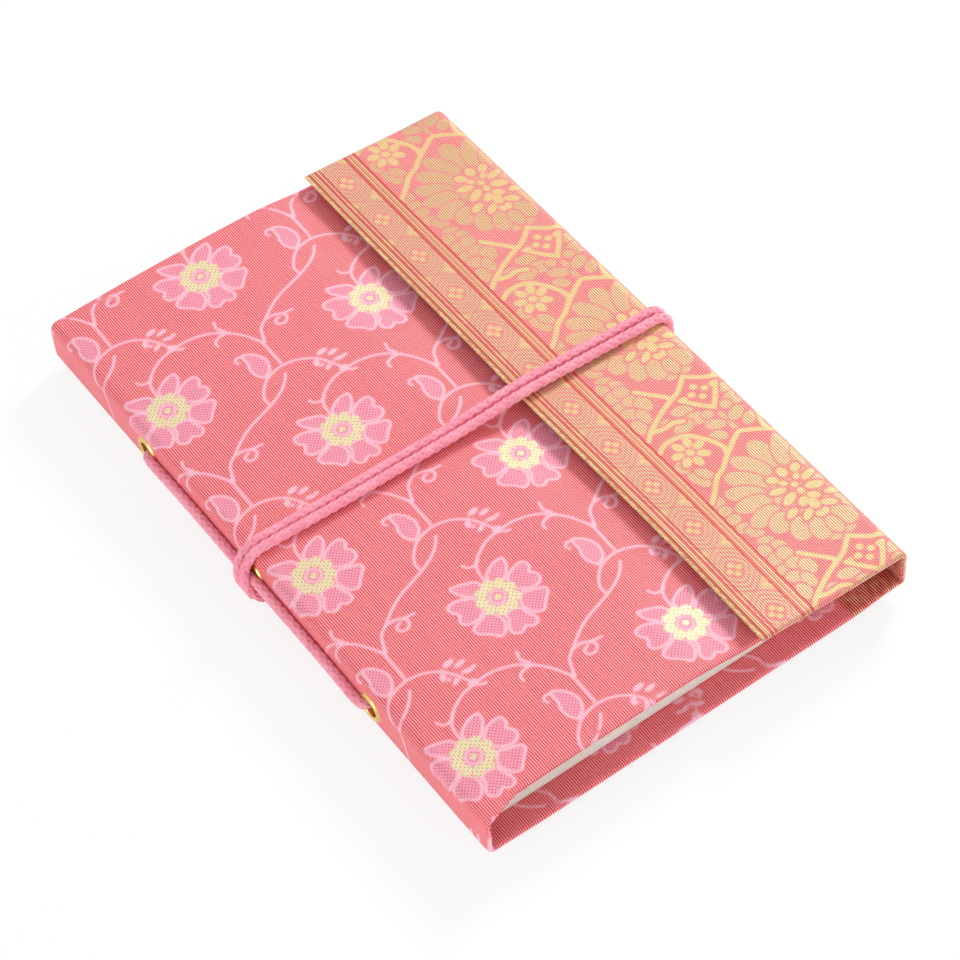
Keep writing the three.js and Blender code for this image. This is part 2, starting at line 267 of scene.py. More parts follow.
class Profile:
    """A smooth height over X through chosen points."""

    def __init__(self, *points: tuple) -> None:
        """Fits the curve to its points.

        Args:
            points: Pairs of a place and its height, from low to high.
        """
        self.x = np.array([p[0] for p in points], float)
        self.z = np.array([p[1] for p in points], float)
        n, h = len(points), np.diff(self.x)
        system, right = np.eye(n), np.zeros(n)
        for i in range(1, n - 1):
            system[i, i - 1 : i + 2] = h[i - 1], 2 * (h[i - 1] + h[i]), h[i]
            before = (self.z[i] - self.z[i - 1]) / h[i - 1]
            right[i] = 6 * ((self.z[i + 1] - self.z[i]) / h[i] - before)
        self.bend = np.linalg.solve(system, right)

    def __call__(self, x: np.ndarray) -> np.ndarray:
        """The height at X, held level past both ends.

        Args:
            x: One place or an array of places.

        Returns:
            The height or heights there.
        """
        x = np.clip(np.asarray(x, float), self.x[0], self.x[-1])
        i = np.clip(np.searchsorted(self.x, x) - 1, 0, len(self.x) - 2)
        h = self.x[i + 1] - self.x[i]
        a, b = (self.x[i + 1] - x) / h, (x - self.x[i]) / h
        curve = (a**3 - a) * self.bend[i] + (b**3 - b) * self.bend[i + 1]
        return a * self.z[i] + b * self.z[i + 1] + curve * h * h / 6


def smooth(edge0: float, edge1: float, x: np.ndarray) -> np.ndarray:
    """A soft step from 0 at edge0 to 1 at edge1."""
    t = np.clip((np.asarray(x, float) - edge0) / (edge1 - edge0), 0, 1)
    return t * t * (3 - 2 * t)


class Book:
    """Heights of the cover, the flap and the page block, and the way into the row frame."""

    def __init__(self, sizes: Sizes) -> None:
        """Works out the curves of the cover, the flap and the pages.

        Args:
            sizes: The driving sizes.
        """
        self.s = s = sizes
        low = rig.box("back_fabric")[0]
        self.origin = np.array([low.x / MM - s.crease, 0.0, low.z / MM])
        w, top, spread = s.width, s.spine, s.crown - s.spine
        over = s.cover + s.flap_gap
        self.front = Profile(
            (s.crease, top),
            (0.1 * w, top + 0.6 * spread),
            (0.28 * w, s.crown),
            (0.46 * w, top + 0.65 * spread),
            (s.flap_start, top - 0.1),
            (0.84 * w, top - 0.65 * over),
            (s.front_end, top - over - 0.1),
        )
        at = [s.flap_start + share * s.flap for share in (0, 0.32, 0.62)]
        lifts = (s.flap_lift, 0.2, 0.1)
        self.flap = Profile(
            *[(x, float(self.front(x)) + over + lift) for x, lift in zip(at, lifts)],
            (w - s.crease, top),
        )
        below, fold = s.cover + 0.3, top - 3.1
        under = ((0.27, 0.6), (0.42, 0.1), (1 - s.flap / w, 0.1), (0.84, 0.1))
        self.block = Profile(
            (s.page_start, fold),
            (0.13 * w, fold + 1.2),
            *[(share * w, float(self.front(share * w)) - below - drop) for share, drop in under],
            (w - s.page_short, float(self.front(w - s.page_short)) - below - 0.25),
        )

    def sag(self, x: np.ndarray, y: np.ndarray) -> np.ndarray:
        """How far the front cover gives way: under the tie, beside the flap, and in slow waves.

        Args:
            x: Places across.
            y: Places along.

        Returns:
            The change of height there.
        """
        s = self.s
        tie = -s.tie_dent * np.exp(-((y / 7.0) ** 2)) * smooth(6, 14, x)
        dip = smooth(s.flap_start - 18, s.flap_start, x) * smooth(s.front_end, s.flap_start + 14, x)
        slow = 0.14 * np.sin(y / 23.0 + 0.6) * np.sin(x / 19.0 + 0.3)
        slow = slow + 0.07 * np.sin(y / 9.0 + x / 14.0)
        return smooth(3, 18, x) * (tie - s.flap_dent * dip + slow)

    def place(self, points: np.ndarray) -> np.ndarray:
        """Book millimetres as metres in the row frame.

        Args:
            points: Places as an N by 3 array.

        Returns:
            The same places in the row frame.
        """
        return (np.asarray(points, float) + self.origin) * MM

    def point(self, x: float, y: float, z: float) -> tuple:
        """One place in the row frame."""
        return tuple(self.place(np.array([[x, y, z]]))[0])


# ---------------------------------------------------------------- the woven figures


class Figure(Enum):
    """The three sorts of weaving that a figure is made of."""

    LINE = "line"
    MESH = "mesh"
    GOLD = "gold"


def rounded(points: list, closed: bool, step: float = 0.25) -> np.ndarray:
    """A smooth line through chosen points.

    Args:
        points: The points it goes through.
        closed: Whether it ends where it began.
        step: Distance between the places returned.

    Returns:
        Places along the line as an N by 2 or N by 3 array.
    """
    p = np.array(points, float)
    wrap = [p[-1], *p, p[0], p[1]] if closed else [2 * p[0] - p[1], *p, 2 * p[-1] - p[-2]]
    out = []
    for a, b, c, d in zip(wrap, wrap[1:], wrap[2:], wrap[3:]):
        count = max(2, int(np.linalg.norm(c - b) / step))
        t = np.arange(count)[:, None] / count
        second, third = 2 * a - 5 * b + 4 * c - d, 3 * b - a - 3 * c + d
        out.append(0.5 * (2 * b + (c - a) * t + second * t**2 + third * t**3))
    if not closed:
        out.append(p[-1:])
    return np.concatenate(out)


class Repeat:
    """One repeat of the loom's figures, kept as distances to their edges, in millimetres."""

    def __init__(self, across: float, along: float, copies: list, step: float = 0.2) -> None:
        """Starts an empty repeat.

        Args:
            across: Its width.
            along: Its height.
            copies: Shifts at which everything is drawn again.
            step: Distance between the places kept.
        """
        self.size = (across, along)
        self.copies = copies
        self.seam = 0.0
        self.count = (max(8, round(across / step)), max(8, round(along / step)))
        self.step = (across / self.count[0], along / self.count[1])
        self.fields = {f: np.full(self.count, NOTHING) for f in Figure}

    def _window(self, centre: tuple, reach: float) -> tuple:
        """Rows, columns and places of the part of the repeat near a centre.

        Args:
            centre: The middle of the part.
            reach: How far it goes each way.

        Returns:
            The index of that part, and its places across and along.
        """
        spans = []
        for c, step, count in zip(centre, self.step, self.count):
            first, last = math.floor((c - reach) / step), math.ceil((c + reach) / step)
            index = np.arange(first, last + 1)
            spans.append((index % count, index * step))
        (rows, us), (columns, vs) = spans
        return np.ix_(rows, columns), *np.meshgrid(us, vs, indexing="ij")

    def _stamp(self, sort: Figure, centre: tuple, reach: float, distance: Callable) -> None:
        """Lowers a field near a centre to a distance, at every copy.

        Args:
            sort: The field.
            centre: Where the shape lies.
            reach: How far from there the field may change.
            distance: Distance to the shape's edge, from places about its centre.
        """
        for du, dv in self.copies:
            c = (centre[0] + du, centre[1] + dv)
            where, u, v = self._window(c, reach)
            near = distance(u - c[0], v - c[1])
            self.fields[sort][where] = np.minimum(self.fields[sort][where], near)
            if self.seam:
                mesh = self.fields[Figure.MESH]
                mesh[where] = np.maximum(mesh[where], np.minimum(self.seam - near, 1.0))

    def stroke(self, sort: Figure, points: list, half: float, closed: bool = False) -> None:
        """Draws a line of one width.

        Args:
            sort: The weaving that it is made of.
            points: The points that it goes through.
            half: Half its width.
            closed: Whether it ends where it began.
        """
        for place in rounded(points, closed):
            self._stamp(sort, tuple(place), half + LINE_MARGIN, lambda u, v: np.hypot(u, v) - half)

    def oval(
        self, sort: Figure, centre: tuple, long: float, short: float, turn: float = 0.0
    ) -> None:
        """Draws a solid oval, turned by so many degrees.

        Args:
            sort: The weaving that it is made of.
            centre: Its middle.
            long: Half its length.
            short: Half its width.
            turn: Degrees that its length is turned from across.
        """
        c, s = math.cos(math.radians(turn)), math.sin(math.radians(turn))

        def distance(u: np.ndarray, v: np.ndarray) -> np.ndarray:
            """Distance to the oval's edge, near enough."""
            return (np.hypot((u * c + v * s) / long, (v * c - u * s) / short) - 1) * short

        self._stamp(sort, centre, long + OVAL_MARGIN, distance)

    def clear(self, sort: Figure, *shape: object) -> None:
        """Clears an oval of one weaving, so that what is drawn there next has a seam round it.

        Args:
            sort: The weaving.
            shape: The oval, as `oval` takes it.
        """
        kept, self.fields[sort] = self.fields[sort], np.full(self.count, NOTHING)
        self.oval(sort, *shape)
        self.fields[sort] = np.maximum(kept, np.minimum(-self.fields[sort], 1.0))

    def filled(self, sort: Figure, points: list) -> None:
        """Fills a closed outline.

        Args:
            sort: The weaving that it is made of.
            points: The points that its edge goes through.
        """
        edge = rounded(points, True, 0.6)
        low, high = edge.min(0), edge.max(0)
        centre = tuple((low + high) / 2)
        near = edge - centre

        def inside(u: np.ndarray, v: np.ndarray) -> np.ndarray:
            """Minus one inside the outline and two outside it.

            Args:
                u: Places across.
                v: Places along.

            Returns:
                The field there.
            """
            crossed = np.zeros(u.shape, bool)
            for (au, av), (bu, bv) in zip(near, np.roll(near, -1, 0)):
                if av != bv:
                    crossed ^= ((av > v) != (bv > v)) & (u < (bu - au) * (v - av) / (bv - av) + au)
            return np.where(crossed, -1.0, NOTHING)

        self._stamp(sort, centre, float((high - low).max()) / 2 + 0.5, inside)

    def ring(self, sort: Figure, centre: tuple, count: int, radius: float, oval: tuple) -> None:
        """Draws ovals in a ring, each pointing outwards.

        Args:
            sort: The weaving that they are made of.
            centre: The ring's middle.
            count: How many there are.
            radius: The ring's radius.
            oval: Half the length and half the width of each.
        """
        for k in range(count):
            a = 2 * math.pi * (k + 0.25) / count
            place = (centre[0] + radius * math.cos(a), centre[1] + radius * math.sin(a))
            self.oval(sort, place, *oval, math.degrees(a))

    def sample(self, sort: Figure, u: np.ndarray, v: np.ndarray) -> np.ndarray:
        """The distance field at any places, over and over.

        Args:
            sort: The field to read.
            u: Places across.
            v: Places along.

        Returns:
            The field's values there.
        """
        data = self.fields[sort]
        a, b = u / self.step[0], v / self.step[1]
        i, j = np.floor(a).astype(int), np.floor(b).astype(int)
        fa, fb = a - i, b - j
        n, m = self.count
        rows, columns = (i % n, (i + 1) % n), (j % m, (j + 1) % m)
        first = data[rows[0], columns[0]] * (1 - fa) + data[rows[1], columns[0]] * fa
        second = data[rows[0], columns[1]] * (1 - fa) + data[rows[1], columns[1]] * fa
        return first * (1 - fb) + second * fb


@dataclass
class TrailingVine:
    """The cover's figure: open flower, vine, curled leaf and sprig, in a half-drop repeat.

    `vine` and `outline` are half the widths of those lines, and `flower_at` is where the flower's
    middle lies on the cloth. The sprig's ovals are given as the border's are.
    """

    across: float = 58.84
    along: float = 62.44
    vine: float = 0.37
    outline: float = 0.4
    heart: float = 2.9
    seed: tuple = (0.95, 0.85)
    seed_line: tuple = (2, 0.42)
    ring: tuple = (9, 3.85, (1.6, 1.42))
    flower_at: tuple = (43.0, -44.5)
    petals: tuple = (
        ((-7.2, 8.4), (-5.4, 8.1), (-3.4, 7.4), (-1.6, 6.4), (-1.2, 4.6), (-3.2, 3.2),
         (-4.6, 3.6), (-6.4, 5.6), (-7.1, 6.9)),
        ((7.2, 8.4), (5, 8.4), (3, 7.5), (1.4, 6.2), (1.3, 4.5), (3.4, 3.2), (4.7, 3.6),
         (6.2, 5.2), (7.1, 6.6)),
        ((10.4, 4.6), (8.5, 4.7), (6.4, 3.9), (4.6, 2.4), (4.7, -0.3), (6.2, -1.6), (8, -2.5),
         (10, -2.3), (11, -1.2), (10.9, 0.3), (9.9, 1.5), (10.9, 2.8)),
        ((-10.7, 4.5), (-8.5, 4.8), (-6.4, 4), (-4.5, 2.6), (-4.8, -0.9), (-6.3, -2.1),
         (-8.5, -2.4), (-10.3, -1.8), (-10.8, -0.4), (-9.8, 1.2), (-10.8, 2.8)),
        ((-4.8, -2.1), (-6.4, -2.9), (-8.2, -3.4), (-9.6, -4.1), (-9.5, -5.6), (-8.1, -6.8),
         (-6.9, -7.9), (-5.9, -9.2), (-4.7, -9.1), (-3.3, -7.6), (-2.7, -5.6), (-3.4, -3.8)),
        ((4.9, -2.4), (6.6, -3), (8.4, -3.6), (10.1, -4.3), (10, -5.6), (8.6, -6.9), (7.3, -8.2),
         (6.4, -9.2), (5.2, -9.1), (4, -8), (3.3, -6.4), (3.2, -4.6)),
        ((-1.3, -5), (-1.8, -7), (-2.9, -8.6), (-3.1, -10.2), (-1.5, -11.3), (0.3, -10.4),
         (1.6, -11.3), (3.2, -11), (3.5, -9.6), (2.7, -7.6), (2, -5.4)),
    )
    leaf: tuple = ((23.2, 2.8), (25, 2), (26.6, -0.2), (27, -2.4), (26.2, -4.8), (24, -6.3),
                   (22.6, -4.6), (22.3, -2.4), (22.9, -0.4), (22.9, 1.4))
    stems: tuple = (
        ((0.3, 5), (0.7, 8.5), (2, 11), (4.5, 13), (7.5, 14.5), (10.5, 15.1), (13.5, 15.4),
         (16.5, 15.2), (20.5, 14), (23.5, 12), (26.5, 9), (28.5, 5.7), (29.5, 3), (29.5, -0.5),
         (29.4, -5)),
        ((20, -14), (20, -12), (21.5, -9.5), (24, -7.2), (27.5, -6), (30.5, -5.9), (33.8, -6.8),
         (36.8, -8.8), (38.6, -11.2), (39.8, -13.6), (40.4, -15)),
        ((28.4, -8.4), (27, -10.3), (24.5, -12.4), (21, -14.2), (17, -15.6), (13, -16.9),
         (9, -18.9), (5.5, -21.4), (2.5, -23.7), (1.3, -26.4), (0.3, -28)),
        ((4.9, -21.9), (7.5, -22), (9.4, -22.8), (11.9, -23.2)),
        ((8.9, -22.6), (9.7, -24.2), (8.3, -25.7), (6.5, -25.2), (6.6, -23.8), (7.9, -23.4)),
        ((-1.3, 12.2), (-0.6, 10.9), (1, 10.4), (2.5, 11.1)),
        ((20.3, 9), (20.6, 10.6), (22.5, 11.4), (24.8, 11.2)),
        ((23.7, 16.2), (23.2, 14.2), (24.3, 12.2)),
        ((22.9, 2.6), (21.6, 2.9), (20.8, 2), (21.2, 1)),
        ((40.8, -16.2), (42, -17.2), (43, -17.4)),
        ((29, 4.6), (30.1, 3.2), (30.6, 4.8)),
    )
    sprig: tuple = (
        (40.6, -15.6, 1.25, 1.0, 20),
        (39.3, -7.9, 1.5, 0.75, 10),
        (41.3, -9.6, 1.5, 0.65, 8),
        (36.2, -10.3, 1.1, 0.75, 70),
        (41.5, -12.2, 1.4, 0.6, -15),
        (37.9, -13, 1.1, 0.6, 30),
        (43.2, -12.1, 0.7, 0.5, 0),
        (36.9, -11.6, 0.6, 0.45, 0),
    )

    def draw(self) -> Repeat:
        """Draws the whole figure into one repeat.

        Returns:
            The repeat.
        """
        repeat = Repeat(self.across, self.along, [(0, 0), (self.across / 2, self.along / 2)])
        for outline in (*self.petals, self.leaf):
            repeat.filled(Figure.MESH, outline)
            repeat.stroke(Figure.LINE, outline, self.outline, closed=True)
        for stem in self.stems:
            repeat.stroke(Figure.LINE, stem, self.vine)
        for u, v, long, short, turn in self.sprig:
            repeat.oval(Figure.LINE, (u, v), long, short, turn)
        repeat.oval(Figure.MESH, (0, 0), self.heart, self.heart)
        repeat.ring(Figure.GOLD, (0, 0), *self.ring)
        repeat.oval(Figure.GOLD, (0, 0), *self.seed)
        r, half = self.seed_line
        repeat.stroke(Figure.LINE, [(r, 0), (0, r), (-r, 0), (0, -r)], half, closed=True)
        return repeat


@dataclass
class GoldBorder:
    """The border's figure, mirrored about the line of its open flowers, one repeat along the book.

    Petals, seeds and leaves are ovals: places across and along, half length, half width and turn;
    they are drawn `fuller` by a little. `rows` pairs places along the book with places along the
    weave. A ring is a count, a radius and the sizes of its ovals, and `cluster` a place, a distance
    and such sizes. `florets` are places across, shares of the pitch and the reach of their petals.
    """

    along: float = 62.44
    axis: float = 34.6
    rows: tuple = ((-60.2, 0.0), (0.5, 62.44), (63.5, 124.88))
    petals: tuple = (
        (0, 11.4, 4.7, 2.4, 90), (4.6, 10.2, 4.9, 2.0, 62), (8.3, 7.3, 4.9, 2.15, 50),
        (11.0, 4.2, 4.6, 1.95, 34), (11.5, 0.7, 4.4, 1.9, 12), (11.7, -3.9, 3.9, 1.95, -10),
        (9.8, -7.6, 2.9, 2.15, -30), (6.9, -11.8, 3.3, 2.2, -52), (3.4, -14.3, 3.1, 2.0, -66),
        (0, -15.4, 2.4, 1.2, 90),
    )
    seeds: tuple = (
        (3.4, 3.7, 1.4, 1.05, 40), (1.9, 1.4, 0.95, 0.7, 40), (0, 4.3, 1.5, 1.15, 90),
        (4.5, 0.2, 2.1, 0.95, 15), (3.7, -3.2, 2.2, 1.1, -25), (1.6, -5.6, 1.5, 0.95, -40),
        (0, -0.4, 0.8, 0.8, 0), (0, -2.8, 0.9, 0.8, 90), (0, -7.6, 1.6, 1.1, 90),
        (3.1, -9.4, 1.9, 0.9, -35), (5.9, -7.0, 1.8, 0.9, -20), (0.8, -11, 1.0, 0.8, 60),
        (4.4, -26, 0.9, 0.7, 0),
    )
    leaves: tuple = (
        (18.2, 6.2, 1.4, 1.9, 0), (18.3, 2.9, 1.4, 1.1, 0), (18.2, -0.3, 1.5, 1.1, 0),
        (18, -3.7, 1.6, 1.1, 0), (16.6, -6.1, 1.9, 1.1, 50), (16.1, -10.2, 2.0, 1.3, 30),
        (18.2, -12.0, 1.1, 1.6, 0), (14.4, -12.6, 1.6, 1.0, 60), (17.4, -15.6, 1.8, 1.6, 0),
        (14.9, -15.2, 1.5, 1.5, 0), (18.1, -19.2, 1.4, 1.3, 0), (14.6, -18.9, 2.0, 1.3, 20),
        (17.2, -22.2, 2.1, 1.25, 30), (12.9, -21.4, 1.5, 2.1, 0), (15.2, -24.6, 1.0, 2.0, 0),
        (18.3, -26.8, 1.2, 2.2, 0), (6.9, -28.6, 2.4, 1.2, 15), (5.6, 29.9, 2.7, 1.6, 10),
        (9.6, 29.5, 2.4, 1.4, -10), (3.1, 25.6, 2.2, 1.15, 25), (4.6, 22.4, 1.8, 1.05, 35),
        (2.7, 29.2, 1.0, 0.9, 0), (16.9, 14.0, 1.1, 3.1, -22), (17.9, 19.6, 1.3, 1.7, 0),
        (14.8, 15.0, 0.9, 2.0, -30), (2.4, -18.2, 1.4, 0.7, 30), (12.4, -29.7, 1.9, 0.9, 10),
    )
    stems: tuple = (
        ((19.4, 6.6), (16.6, 9), (14.6, 11), (13.1, 12.3), (10.1, 13.8), (7.1, 16.2),
         (4.1, 18.2), (1.6, 19.8), (-0.6, 20.8)),
        ((19.4, -31.6), (17.1, -29.6), (13.1, -27.2), (10.1, -25.7), (7.1, -24.4), (4.1, -23.2),
         (1.6, -21.3), (-0.6, -19.4)),
        ((12.3, -17), (10.1, -19.6), (8.1, -21.8), (6.3, -24.2)),
        ((16.6, -29.9), (14, -30.6), (11, -30.4), (8.6, -31.4)),
        ((19.6, 26.3), (17, 27.7), (14, 27.9), (11, 27), (9, 24.9), (7, 21.8), (6, 18.9),
         (6.4, 17.2)),
        ((5.2, -25.9), (2.6, -29.4), (-0.5, -32.8)),
    )
    bars: tuple = (((0, 20.6), (0, 27.6)), ((0, -17.4), (0, -20.2)))
    width: float = 40.0
    reach: float = 38.5
    bar: float = 0.85
    stem: float = 0.7
    field_oval: tuple = ((0, -2.4), 8.8, 7.2, 90)
    fuller: tuple = (0.52, 0.55)
    clearing: float = 0.4
    seam: float = 0.38
    seed_fuller: tuple = (0.2, 0.15)
    cluster: tuple = (-26, 1.9, 1.0, 0.95)
    rosette: tuple = (13.5, 22.2)
    rosette_ring: tuple = (7, 3.3, (1.75, 1.15))
    rosette_seed: tuple = (1.15, 1.1)
    floret_pitch: float = 15.61
    floret_from: float = 3.6
    florets: tuple = ((0, 0, 1.35), (4.3, 0.5, 1.2), (-4.3, 0.5, 1.2))
    floret_petal: float = 0.85
    lozenge: float = 1.35
    band_middle: float = 27.5
    red_lines: tuple = (31.9, 22.9, 20.2)

    def warp(self, y: np.ndarray) -> np.ndarray:
        """Place along the weave, which is drawn a little tighter towards the tail.

        Args:
            y: Places along the book.

        Returns:
            Places along the weave, counted from one open flower.
        """
        (a, va), (b, vb), (c, vc) = self.rows
        lower, upper = (vb - va) / (b - a), (vc - vb) / (c - b)
        return np.where(y < b, va + (y - a) * lower, vb + (y - b) * upper)

    def draw(self) -> Repeat:
        """Draws the whole figure into one repeat; across it runs from the mirror line outwards.

        Returns:
            The repeat.
        """
        repeat = Repeat(self.width, self.along, [(0, 0)])
        self._band(repeat)
        for bar in self.bars:
            repeat.stroke(Figure.MESH, bar, self.bar)
        repeat.oval(Figure.MESH, *self.field_oval)
        for figures, fuller in zip((self.leaves, self.petals), self.fuller):
            for u, v, long, short, turn in figures:
                long, short = long + fuller, short + fuller
                repeat.clear(Figure.MESH, (u, v), long + self.clearing, short + self.clearing, turn)
                repeat.oval(Figure.MESH, (u, v), long, short, turn)
        repeat.seam = self.seam
        for u, v, long, short, turn in self.seeds:
            longer, wider = self.seed_fuller
            repeat.oval(Figure.GOLD, (u, v), long + longer, short + wider, turn)
        for stem in self.stems:
            repeat.stroke(Figure.GOLD, stem, self.stem)
        middle, apart, *seed = self.cluster
        for du, dv in ((apart, 0), (-apart, 0), (0, apart), (0, -apart)):
            repeat.oval(Figure.GOLD, (du, middle + dv), *seed)
        repeat.ring(Figure.GOLD, self.rosette, *self.rosette_ring)
        repeat.oval(Figure.GOLD, self.rosette, *self.rosette_seed)
        return repeat

    def _from_floret(self, v: np.ndarray, shift: float = 0.0) -> np.ndarray:
        """Distance along the book from the nearest floret, of those moved by a shift."""
        half = self.floret_pitch / 2
        return (v - self.floret_from - shift + half) % self.floret_pitch - half

    def _band(self, repeat: Repeat) -> None:
        """Stripes, red threads and the florets in their nested lozenges, over the whole repeat.

        Args:
            repeat: The repeat to draw into.
        """
        axes = [np.arange(n) * s for n, s in zip(repeat.count, repeat.step)]
        u, v = np.meshgrid(*axes, indexing="ij")
        gold, mesh = repeat.fields[Figure.GOLD], repeat.fields[Figure.MESH]
        t = self._from_floret(v)
        side = np.abs(u - self.band_middle)
        near = np.hypot(side, t * 0.9) * 0.55 + (side + 0.8 * np.abs(t)) * 0.45
        rings = np.abs((near / self.lozenge + 0.1) % 1.0 - 0.5) * self.lozenge - 0.46
        outer, inner, last = self.red_lines
        in_band = (u > inner) & (u < outer)
        for du, share, reach in self.florets:
            tt = self._from_floret(v, share * self.floret_pitch)
            uu = u - self.band_middle - du
            for a, b in ((reach, 0), (-reach, 0), (0, reach * 1.1), (0, -reach * 1.1)):
                dot = np.hypot(uu - a, tt - b) - self.floret_petal
                np.minimum(gold, np.where(in_band, dot, NOTHING), out=gold)
        mesh[in_band] = np.where(near < 2.3, 0.35, rings)[in_band]
        mesh[(u > outer) | ((u > last) & (u <= inner))] = -0.8


@dataclass
class Weave:
    """Both figures laid out over the wrap, read by place across the wrap and along the book."""

    vine: TrailingVine = field(default_factory=TrailingVine)
    border: GoldBorder = field(default_factory=GoldBorder)

    def __post_init__(self) -> None:
        """Draws both figures."""
        self.cover_repeat = self.vine.draw()
        self.border_repeat = self.border.draw()

    def read(self, across: np.ndarray, along: np.ndarray, from_edge: np.ndarray) -> dict:
        """The figures at places on the cloth.

        Args:
            across: Distance round the wrap from the middle of the spine.
            along: Place along the book.
            from_edge: Distance round the wrap from the flap's free edge.

        Returns:
            One array for each attribute that the cloth's material reads.
        """
        zone = (np.asarray(from_edge) < 2 * self.border.axis).astype(float)
        middle = np.abs(from_edge - self.border.axis)
        height = self.border.warp(along)
        u, v = across - self.vine.flower_at[0], along - self.vine.flower_at[1]
        made = {}
        for sort in Figure:
            cover = self.cover_repeat.sample(sort, u, v)
            edge = self.border_repeat.sample(sort, np.clip(middle, 0, self.border.reach), height)
            made[sort.value] = np.where(zone > 0.5, edge, cover)
        made["zone"] = zone
        return made


# ---------------------------------------------------------------- shader building


class Value:
    """A shader value that stands in Python expressions and adds its Math nodes."""

    def __init__(self, shader: "Shader", socket: NodeSocket) -> None:
        """Keeps the socket and the shader that it belongs to."""
        self.shader = shader
        self.socket = socket

    def _with(self, operation: str, *others: object) -> "Value":
        """One operation on this value and others."""
        sockets = dict(enumerate((self, *others)))
        return self.shader.value("ShaderNodeMath", {"operation": operation}, sockets)

    def __add__(self, other: object) -> "Value":
        """Sum."""
        return self._with("ADD", other)

    __radd__ = __add__

    def __mul__(self, other: object) -> "Value":
        """Product."""
        return self._with("MULTIPLY", other)

    __rmul__ = __mul__

    def __sub__(self, other: object) -> "Value":
        """Difference."""
        return self._with("SUBTRACT", other)

    def __rsub__(self, other: float) -> "Value":
        """A number less this value."""
        return self * -1.0 + other

    def sine(self) -> "Value":
        """Its sine."""
        return self._with("SINE")

    def unsigned(self) -> "Value":
        """Its size without its sign."""
        return self._with("ABSOLUTE")

    def most(self, other: object) -> "Value":
        """The larger of the two."""
        return self._with("MAXIMUM", other)

    def wave(self, pitch: float, start: float = 0.0) -> "Value":
        """A wave from 0 to 1 with a given pitch."""
        return (self * (2 * math.pi / pitch) + start).sine() * 0.5 + 0.5

    def step(self, low: float, high: float, start: float = 0.0, end: float = 1.0) -> "Value":
        """A soft step between two edges, from one value to another."""
        sockets = dict(enumerate((self, low, high, start, end)))
        settings = {"interpolation_type": "SMOOTHSTEP"}
        return self.shader.value("ShaderNodeMapRange", settings, sockets)

    def below(self, edge: float, soft: float) -> "Value":
        """1 below an edge and 0 above it, with a soft step between."""
        return self.step(edge - soft, edge + soft, 1.0, 0.0)


class Shader:
    """The node tree of a material or of the world, built by calls."""

    def __init__(self, owner: ID) -> None:
        """Clears the nodes of a new material or world.

        Args:
            owner: The material or the world.
        """
        self.owner = owner
        owner.use_nodes = True
        self.tree = owner.node_tree
        self.tree.nodes.clear()

    def node(self, kind: str, settings: dict | None = None, sockets: dict | None = None) -> Node:
        """Adds one node.

        Args:
            kind: The node's type name.
            settings: Its own properties, set first.
            sockets: Values or links for its inputs, by name or number.

        Returns:
            The node.
        """
        made = self.tree.nodes.new(kind)
        for name, setting in (settings or {}).items():
            setattr(made, name, setting)
        for key, given in (sockets or {}).items():
            socket = made.inputs[key]
            if isinstance(given, Value):
                given = given.socket
            if isinstance(given, NodeSocket):
                self.tree.links.new(given, socket)
            else:
                socket.default_value = given
        return made

    def value(
        self,
        kind: str,
        settings: dict | None = None,
        sockets: dict | None = None,
        output: object = 0,
    ) -> Value:
        """One output of a new node as a value."""
        return Value(self, self.node(kind, settings, sockets).outputs[output])

    def attribute(self, name: str) -> Value:
        """A number kept on the mesh."""
        return self.value("ShaderNodeAttribute", {"attribute_name": name}, output="Fac")

    def place_on_cloth(self) -> tuple:
        """Places across and along the cloth, in millimetres.

        Returns:
            Both places as values.
        """
        uv = self.node("ShaderNodeUVMap", {"uv_map": "cloth"})
        parts = self.node("ShaderNodeSeparateXYZ", sockets={0: uv.outputs[0]})
        return tuple(Value(self, parts.outputs[i]) * CLOTH_UNIT for i in range(2))

    def object_place(self) -> NodeSocket:
        """Object coordinates."""
        return self.node("ShaderNodeTexCoord").outputs["Object"]

    def noise(self, vector: object, scale: float, detail: float = 2.0, rough: float = 0.5) -> Value:
        """Cloudy noise from 0 to 1."""
        sockets = {"Vector": vector, "Scale": scale, "Detail": detail, "Roughness": rough}
        return self.value("ShaderNodeTexNoise", {}, sockets, "Fac")

    def vector(self, x: object, y: object, z: object = 0.0) -> NodeSocket:
        """Three values as a vector."""
        return self.node("ShaderNodeCombineXYZ", sockets={0: x, 1: y, 2: z}).outputs[0]

    def mix(self, factor: object, first: object, second: object, blend: str = "MIX") -> NodeSocket:
        """Two colours mixed."""
        settings = {"data_type": "RGBA", "blend_type": blend}
        return self.node("ShaderNodeMix", settings, {0: factor, 6: first, 7: second}).outputs[2]

    def bump(self, height: Value, distance: float, strength: float) -> NodeSocket:
        """A normal from a height in units of a distance in metres."""
        sockets = {"Height": height, "Distance": distance, "Strength": strength}
        return self.node("ShaderNodeBump", sockets=sockets).outputs[0]

    def shown(self) -> Value:
        """1 for rays from the camera, in a reflection or through glass, and 0 for light.

        Returns:
            The value.
        """
        rays = self.node("ShaderNodeLightPath").outputs
        kinds = ("Camera", "Glossy", "Transmission")
        camera, glossy, through = (Value(self, rays[f"Is {kind} Ray"]) for kind in kinds)
        return camera.most(glossy).most(through)

    def surface(self, **sockets: object) -> Material:
        """Ends the material in one surface node with these inputs, and returns it.

        Args:
            sockets: The surface node's inputs, with an underscore for each space.

        Returns:
            The material.
        """
        named = {key.replace("_", " "): given for key, given in sockets.items()}
        surface = self.node("ShaderNodeBsdfPrincipled", sockets=named)
        self.node("ShaderNodeOutputMaterial", sockets={0: surface.outputs[0]})
        return self.owner


# ---------------------------------------------------------------- finishes


